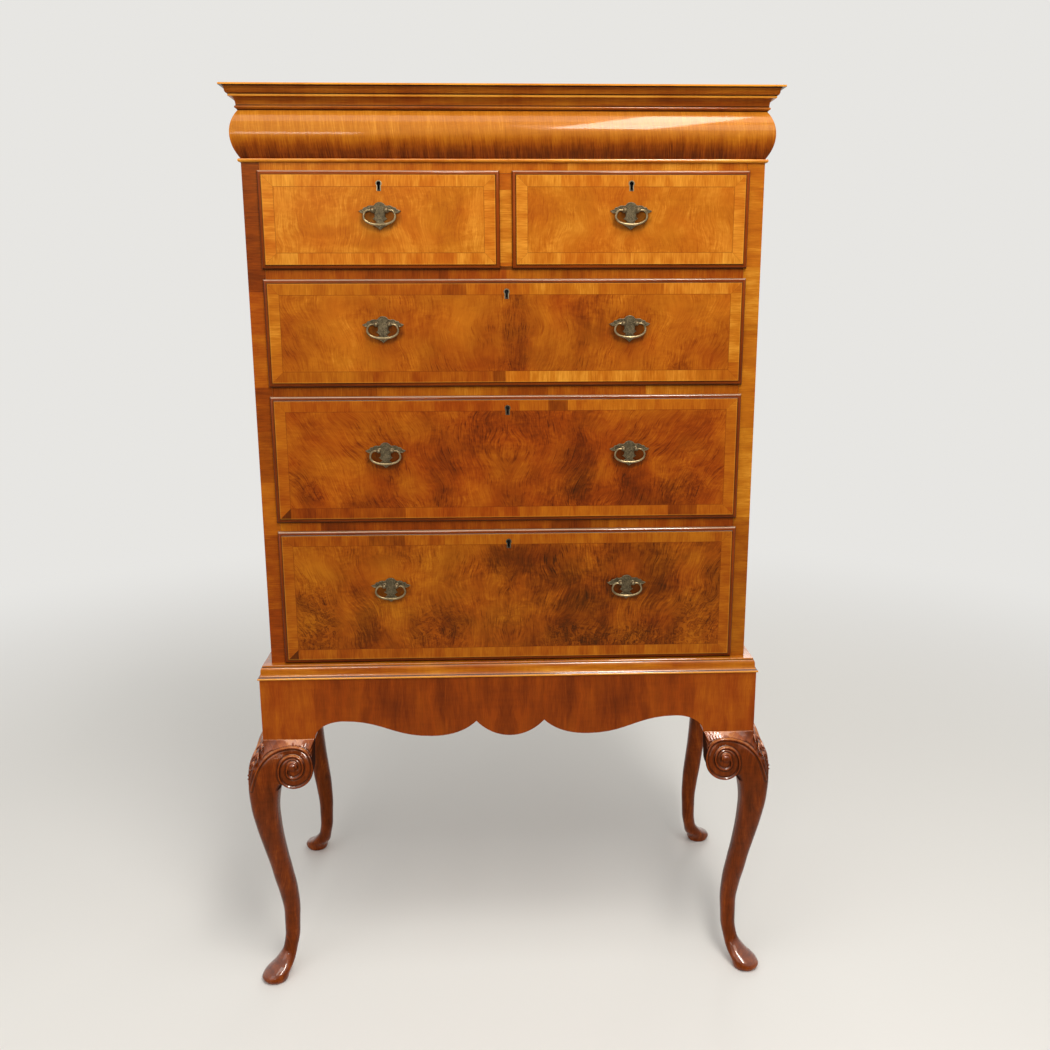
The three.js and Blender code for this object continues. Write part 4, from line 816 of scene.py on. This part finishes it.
def smooth_curve(table, column, at_x):
    """Interpolation through a column of a table, without overshoot."""
    xs = np.array([row[0] for row in table], float)
    ys = np.array([row[column] for row in table], float)
    d = np.diff(ys) / np.diff(xs)
    m = np.zeros_like(ys)
    same = d[:-1] * d[1:] > 0
    m[1:-1][same] = (2 * d[:-1] * d[1:] / (d[:-1] + d[1:] + 1e-12))[same]
    m[0], m[-1] = d[0], d[-1]
    at_x = np.clip(np.asarray(at_x, float), xs[0], xs[-1] - 1e-6)
    k = np.searchsorted(xs, at_x, side="right") - 1
    h = xs[k + 1] - xs[k]
    t = (at_x - xs[k]) / h
    return ((2 * t ** 3 - 3 * t ** 2 + 1) * ys[k] + (t ** 3 - 2 * t ** 2 + t) * h * m[k]
            + (3 * t ** 2 - 2 * t ** 3) * ys[k + 1] + (t ** 3 - t ** 2) * h * m[k + 1])


def knee_face(z):
    return 26.5 * smooth_curve(FACE, 1, LEG - np.asarray(z, float))


def knee_corner(z):
    return KNEE * float(smooth_curve(STATIONS, 1, z / STEM))


def stem(count=110, sides=48):
    rings = []
    for s in np.linspace(0, 1, count):
        outer = float(smooth_curve(STATIONS, 1, s)) * KNEE
        half = float(smooth_curve(STATIONS, 2, s)) * THICK / 2
        power = 2 / float(smooth_curve(STATIONS, 3, s))
        ring = []
        for i in range(sides):
            a = 2 * pi * (i + 0.5) / sides
            c, q = cos(a), sin(a)
            ring.append((outer - half + half * math.copysign(abs(c) ** power, c),
                         outer - half + half * math.copysign(abs(q) ** power, q), s * STEM))
        rings.append(ring)
    return loft(rings)


RIM_X, RIM_Z, RIM_FOOT = 69.0, 62.0, 119  # half axes of the ear's rim, and how far its face runs down
rim = arc(-EAR_X, EAR_Z + EAR_R - RIM_Z, RIM_X, RIM_Z, 0.12, pi / 2, 30)
quarters = tuple(enumerate(EAR_SHARES))
turns = np.linspace(0, len(EAR_SHARES) - 1, (len(EAR_SHARES) - 1) * QUARTER + 1)[1:]
radii = smooth_curve(quarters, 1, turns) * EAR_R
spiral = [(-EAR_X - r * sin(t * pi / 2), EAR_Z + r * cos(t * pi / 2)) for t, r in zip(turns, radii)]
long_rim = [(a + (max(437.0 - u, 0) / 34) ** 2 * 9.2, u)
            for a, u in arc(-EAR_X, EAR_Z + EAR_R - RIM_Z, RIM_X, RIM_Z, -0.24, pi / 2, 40)]
bead_line = long_rim + spiral


def joined(parts):
    """One list of vertices and faces from several."""
    verts, faces = [], []
    for v, f in parts:
        faces += [tuple(i + len(verts) for i in face) for face in f]
        verts += v
    return verts, faces


def evaluated(obj):
    """The mesh of an object with its modifiers, which then goes."""
    bpy.context.view_layer.update()
    data = bpy.data.meshes.new_from_object(obj.evaluated_get(bpy.context.evaluated_depsgraph_get()))
    bpy.data.objects.remove(obj)
    return data


def scratch(verts, faces):
    return mesh_object("scratch", verts, faces)


def ear_body():
    """The ear without its beads, as (across, up, depth)."""
    front = rim + spiral[:2 * QUARTER + QUARTER // 4]
    reach = front[len(rim) + QUARTER - 1][0]
    back = []
    for i, (across, up) in enumerate(front):
        if i < len(rim):
            back.append((-EAR_X * i / (len(rim) - 1), STEM))
        elif i >= len(rim) + QUARTER:
            back.append((across, up))
        else:
            share = 2 * (i - len(rim) + 1) / QUARTER
            along, down = min(share, 1), max(share - 1, 0)
            back.append((-EAR_X - (BLOCK - EAR_X) * along + (reach + BLOCK) * down, STEM - (STEM - EAR_Z) * down))
    rings = [[(a, u, EAR_BACK) for a, u in back], [(a, u, 0.0) for a, u in back],
             [(a, u, float(knee_face(u)) - 0.5) for a, u in front], [(a, u, EAR_FRONT) for a, u in front]]
    block = scratch(*loft(rings))
    heights = np.linspace(LEG, LEG - RIM_FOOT, 60)
    outline = [(EAR_FRONT * -2, LEG + 3), (float(knee_face(LEG)), LEG + 3)]
    outline += [(float(knee_face(h)), h) for h in heights] + [(EAR_FRONT * -2, LEG - RIM_FOOT)]
    knife = scratch(*loft([[(across, up, depth) for depth, up in outline] for across in (-BLOCK * 1.6, RIM_X)]))
    mod = block.modifiers.new("face", "BOOLEAN")
    mod.operation, mod.solver, mod.object = "INTERSECT", "EXACT", knife
    data = evaluated(block)
    bpy.data.objects.remove(knife)
    verts = [tuple(c / MM for c in v.co) for v in data.vertices]
    return verts, [tuple(p.vertices) for p in data.polygons]


def blob(centre, axes, rings=10, sides=14):
    """A closed ellipsoid on three half axes."""
    c, (a, b, d) = Vector(centre), [Vector(v) for v in axes]
    verts = [tuple(c - d)]
    for i in range(1, rings):
        t = pi * i / rings
        verts += round_ring(c - d * cos(t), a, b, sides, sin(t))
    verts.append(tuple(c + d))
    last = len(verts) - 1
    faces = [(0, 1 + (k + 1) % sides, 1 + k) for k in range(sides)]
    for r in range(rings - 2):
        for k in range(sides):
            i, j = 1 + r * sides + k, 1 + r * sides + (k + 1) % sides
            faces.append((i, j, j + sides, i + sides))
    faces += [(last, last - sides + k, last - sides + (k + 1) % sides) for k in range(sides)]
    return verts, faces


def ear_beads():
    """The rolled edge from the knee's corner to the eye, and the eye, as (across, up, depth)."""
    line = [Vector((a, u, float(knee_face(u)))) for a, u in bead_line]
    out = Vector((0, 0, 1))
    rings = [round_ring(q, along.cross(out).normalized(), out, 10, BEAD * min(1.0, 0.12 + i / 18))
             for i, (q, along) in enumerate(zip(line, tangents(line)))]
    eye = blob((-EAR_X, EAR_Z, float(knee_face(EAR_Z))), ((EYE, 0, 0), (0, EYE, 0), (0, 0, EYE * 0.6)))
    return joined([loft(rings), eye])


def husk():
    """Carved leaf and beads down the knee's corner, as (out, out, up)."""
    parts = []
    corner = Vector((1, 1, 0))
    for up, length, width in ((477, 9, 3.2), (462, 10, 3.4), (450, 6.5, 2.6)):
        c, lower = knee_corner(up), knee_corner(up - 6)
        slope = Vector((lower - c, lower - c, -6)).normalized()
        for turn in (-1, 0, 1):
            spread = Vector((turn, -turn, 0)) * 0.42
            along = (slope + spread).normalized()
            across = along.cross(corner).normalized()
            centre = Vector((c - 1.8, c - 1.8, up)) + spread * width * 2.4
            parts.append(blob(centre, (across * width * 0.62, corner.normalized() * 1.9, along * length)))
    for up, radius in ((440, 2.9), (432, 2.5), (425, 1.9)):
        c = knee_corner(up) - 2.4
        parts.append(blob((c, c, up), ((radius, 0, 0), (0, radius, 0), (0, 0, radius))))
    return joined(parts)


def mapped(part, order):
    """The part with its coordinates in that order."""
    verts, faces = part
    return [tuple(v[k] for k in order) for v in verts], faces


body_part, beads_part = ear_body(), ear_beads()


def carved_leg(name, side, end, voxel, share, material):
    """One leg, skinned in voxels, with its grooves cut beside the beads and noted in the attribute carved."""
    post = [[(-28.3 - 44 * a, -28.3 - 44 * b, z) for a, b in ((0, 0), (1, 0), (1, 1), (0, 1))]
            for z in (446.0, STAND_TOP)]
    parts = [stem(), loft(post), mapped(body_part, (2, 0, 1))]
    if end < 0:
        parts += [mapped(body_part, (0, 2, 1)), mapped(beads_part, (0, 2, 1)), mapped(beads_part, (2, 0, 1)), husk()]
    verts, faces = joined(parts)
    verts = [(side * (STAND_X + a), end * (STAND_Y + b), c) for a, b, c in verts]
    obj = mesh_object(name, verts, faces, weld=False)
    skin = obj.modifiers.new("skin", "REMESH")
    skin.mode, skin.voxel_size, skin.adaptivity = "VOXEL", voxel * MM, 0.0
    soften = obj.modifiers.new("soften", "SMOOTH")
    soften.factor, soften.iterations = 0.5, 2
    data = evaluated(obj)
    co = np.empty(len(data.vertices) * 3, np.float32)
    data.vertices.foreach_get("co", co)
    co = co.reshape(-1, 3) / MM
    own = np.stack([side * co[:, 0] - STAND_X, end * co[:, 1] - STAND_Y, co[:, 2]], 1)
    carved = np.zeros(len(own), np.float32)
    if end < 0:
        line = np.array(bead_line)
        fine = np.linspace(0, len(line) - 1, 700)
        line = np.stack([np.interp(fine, range(len(line)), line[:, k]) for k in (0, 1)], 1)
        for across, depth in ((0, 1), (1, 0)):
            near = np.nonzero((own[:, 2] > 395) & (abs(own[:, depth] - knee_face(own[:, 2])) < 3.2)
                              & (own[:, across] < own[:, depth] - 1))[0]
            gap = np.empty(len(near))
            for i in range(0, len(near), 4000):
                rows = own[near[i:i + 4000]][:, [across, 2]]
                gap[i:i + 4000] = np.sqrt(((rows[:, None, :] - line[None]) ** 2).sum(2)).min(1)
            eye = np.hypot(own[near, across] + EAR_X, own[near, 2] - EAR_Z)
            groove = np.exp(-((gap - 3.5) / 1.5) ** 2) * (eye > EYE + 1)
            own[near, depth] -= 1.1 * groove
            # carved is positive in the grooves and negative on the beads' crests; the material paints shade and
            # highlights from it.
            carved[near] = np.maximum(carved[near], groove) - np.clip(1 - gap / 1.7, 0, 1)
        co[:, 0], co[:, 1] = side * (own[:, 0] + STAND_X), end * (own[:, 1] + STAND_Y)
        data.vertices.foreach_set("co", (co * MM).ravel())
    data.attributes.new("carved", "FLOAT", "POINT").data.foreach_set("value", carved)
    obj = link(name, data)
    obj.modifiers.new("thin", "DECIMATE").ratio = share
    data = evaluated(obj)
    data.shade_smooth()
    data.materials.clear()
    data.materials.append(material)
    return link(name, data)


for side, hand in ((-1, "left"), (1, "right")):
    for end, place in ((-1, "front"), (1, "rear")):
        name = f"leg_{place}_{hand}"
        mat = leg_material(name + " walnut", side, end, 61.0 + side * 3 + end * 7)
        voxel, share = (0.9, 0.35) if end < 0 else (1.5, 0.4)
        put_piece(carved_leg("carved_" + name, side, end, voxel, share, mat), "case", "walnut_solid", name)


# Finishes of the solids that show as they are
def dress(material, *nodes, bevel=0.5):
    """That material on solids, with their edges rounded in the picture."""
    for node in nodes:
        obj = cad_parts[node]
        if not obj.material_slots:
            obj.data.materials.append(material)
        for slot in obj.material_slots:
            slot.link, slot.material = "OBJECT", material
        if bevel:
            mod = obj.modifiers.new("worn edges", "BEVEL")
            mod.width, mod.segments, mod.limit_method, mod.angle_limit = bevel * MM, 2, "ANGLE", math.radians(40)


# The left side is set darker than the right, and darker at its top: partly its own veneer, partly painted shade on that
# side.
dress(side_material("left side veneer", 71.0, 0.48, 0.25, (868, 0.15), (961, -0.20), (1125, 0.18), (1284, -0.22)),
      "case_side_left")
dress(side_material("right side veneer", 77.0, 0.54, 0.75, (890, 0.18), (1207, -0.08), (1228, 0.12)), "case_side_right")
RAILS = (("bottom_board", 0.58, 0, ()),
         ("divider_low", 0.60, 890, ((-330, -0.18), (-269, 0.10), (76, -0.14), (178, 0.16))),
         ("divider_middle", 0.46, 1126, ((-223, 0.16), (-11, -0.12), (70, 0.16))),
         ("divider_high", 0.62, 1321, ((-241, -0.12), (-97, 0.12), (74, -0.10), (132, 0.12))),
         ("top_rail", 0.74, 0, ()))
for i, (node, level, drawer_foot, changes) in enumerate(RAILS):
    dress(strip_material(node + " banding", "x", 81.0 + 6 * i, level, 0.16, 0.3, drawer_foot, *changes), node)
dress(strip_material("muntin banding", "z", 119.0, 0.74, 0.16, 0.3, 0), "muntin")
dress(apron_material("front frieze veneer", "x", 123.0), "front_apron")
dress(apron_material("side frieze veneer", "y", 131.0), "side_apron_left", "side_apron_right")
dress(lining_material("old pine", PINE, 141.0, "x"), "stand_back_rail")
dress(lining_material("back boards", PINE, 145.0, "z", 165.0), "back_panel")
dress(lining_material("top boards", OLD_TOP, 147.0, "x", 90.0), "top_board")
oak = lining_material("drawer oak", OAK, 151.0, "y")
steel = brass_material("bolt steel", (0.52, 0.51, 0.49), (0.24, 0.22, 0.20), (0.12, 0.05, 0.025), 0.34, 12.0)
LOCK_BRASS = ((0.58, 0.45, 0.25), (0.30, 0.22, 0.12), (0.12, 0.09, 0.05))
for name, x0, z0, half, height, row in DRAWERS:
    # Painted light: the same brass, darker on each lower drawer.
    painted_light = {"top": 1.0, "high": 0.8, "middle": 0.45, "low": 0.35}[row]
    tones = [[v * painted_light for v in tone] for tone in LOCK_BRASS]
    dress(oak, name + "_box")
    dress(brass_material(name + " lock brass", *tones, 0.30, 9.0, keyhole=(x0, z0 + height - KEY_DROP)),
          name + "_lock", bevel=0.2)
    dress(steel, name + "_bolt", bevel=0.3)

# Stage, lights and camera
PALE = (0.80, 0.79, 0.765)


def seen(tree):
    """1 where a ray from the camera, a mirror or glass looks at the backdrop."""
    path = tree.nodes.new("ShaderNodeLightPath")
    rays = [Val(tree, path.outputs[k]) for k in ("Is Camera Ray", "Is Glossy Ray", "Is Transmission Ray")]
    return rays[0].max(rays[1]).max(rays[2])


floor_mat = bpy.data.materials.new("pale floor")
floor_mat.use_nodes = True
tree = floor_mat.node_tree
ground = tree.nodes["Principled BSDF"]
for key, value in (("Base Color", (*PALE, 1.0)), ("Roughness", 0.6), ("Specular IOR Level", 0.15)):
    put(tree, ground.inputs[key], value)
glow = formula(tree, "Emission", ((*PALE, 1.0), seen(tree)))
far = formula(tree, "VectorMath", (formula(tree, "TexCoord", out="Object"),), "Value", operation="LENGTH")
mix = formula(tree, "MixShader", (far.ramp(1.2, 3.4), Val(tree, ground.outputs[0]), glow))
put(tree, tree.nodes["Material Output"].inputs["Surface"], mix)
work = bmesh.new()
bmesh.ops.create_circle(work, cap_ends=True, segments=96, radius=40.0)
floor = finish_mesh(work, "pale_floor", floor_mat, 0.0)
floor.location.z = -0.0004

world = bpy.data.worlds.new("studio")
world.use_nodes = True
tree = world.node_tree
air = tree.nodes["Background"]
air.inputs["Color"].default_value = (*PALE, 1.0)
put(tree, air.inputs["Strength"], seen(tree) * 0.42 + 0.58)
bpy.context.scene.world = world


def softbox(name, place, aim, width, height, power, colour=(1.0, 0.97, 0.92), up=(0.0, 0.0, 1.0)):
    """A lamp whose height runs along up, as far as its aim allows."""
    light = bpy.data.lights.new(name, "AREA")
    light.shape, light.size, light.size_y, light.energy, light.color = "RECTANGLE", width, height, power, colour
    back = (Vector(place) - Vector(aim)).normalized()
    across = Vector(up).cross(back).normalized()
    turn = Matrix((across, back.cross(across), back)).transposed().to_4x4()
    link(name, light).matrix_world = Matrix.Translation(place) @ turn


softbox("key", (0.9, -2.9, 3.0), (0.0, 0.0, 0.85), 1.6, 0.9, 9.0)
softbox("fill", (-2.2, -2.6, 2.0), (0.0, 0.0, 0.9), 2.0, 2.0, 12.0, (0.95, 0.97, 1.0))
softbox("top", (0.0, -0.9, 3.0), (0.0, -0.35, 0.9), 2.4, 1.2, 19.0)
softbox("rear", (0.6, 3.0, 2.6), (0.0, 0.0, 0.9), 2.0, 1.6, 22.0)
softbox("skylight", (0.58, -1.86, 3.16), (0.22, -0.23, 1.53), 0.4, 1.8, 48.0, up=(0.43, 1.38, 1.38))
softbox("window", (-1.0, -4.0, 2.1), (-0.33, -0.23, 1.53), 0.6, 0.4, 12.0)

FOCUS, CENTRE, FRAME, SENSOR = 1046.335, (535.405, 526.171), 1050.0, 36.0
cam = bpy.data.cameras.new("camera")
cam.sensor_width, cam.lens = SENSOR, FOCUS / FRAME * SENSOR
cam.shift_x, cam.shift_y = (FRAME / 2 - CENTRE[0]) / FRAME, (CENTRE[1] - FRAME / 2) / FRAME
cam.clip_end = 200.0
camera = link("camera", cam)
yaw, pitch, roll = (math.radians(v) for v in (-2.2531, -12.8787, 0.1552))
aim = Matrix.Rotation(yaw, 4, "Z") @ Matrix.Rotation(pitch, 4, "X") @ Matrix.Rotation(roll, 4, "Y")
camera.matrix_world = Matrix.Translation((-0.0235, -2.027, 1.2915)) @ aim @ Matrix.Rotation(pi / 2, 4, "X")
bpy.context.scene.camera = camera
bpy.context.scene.view_settings.view_transform = "Standard"
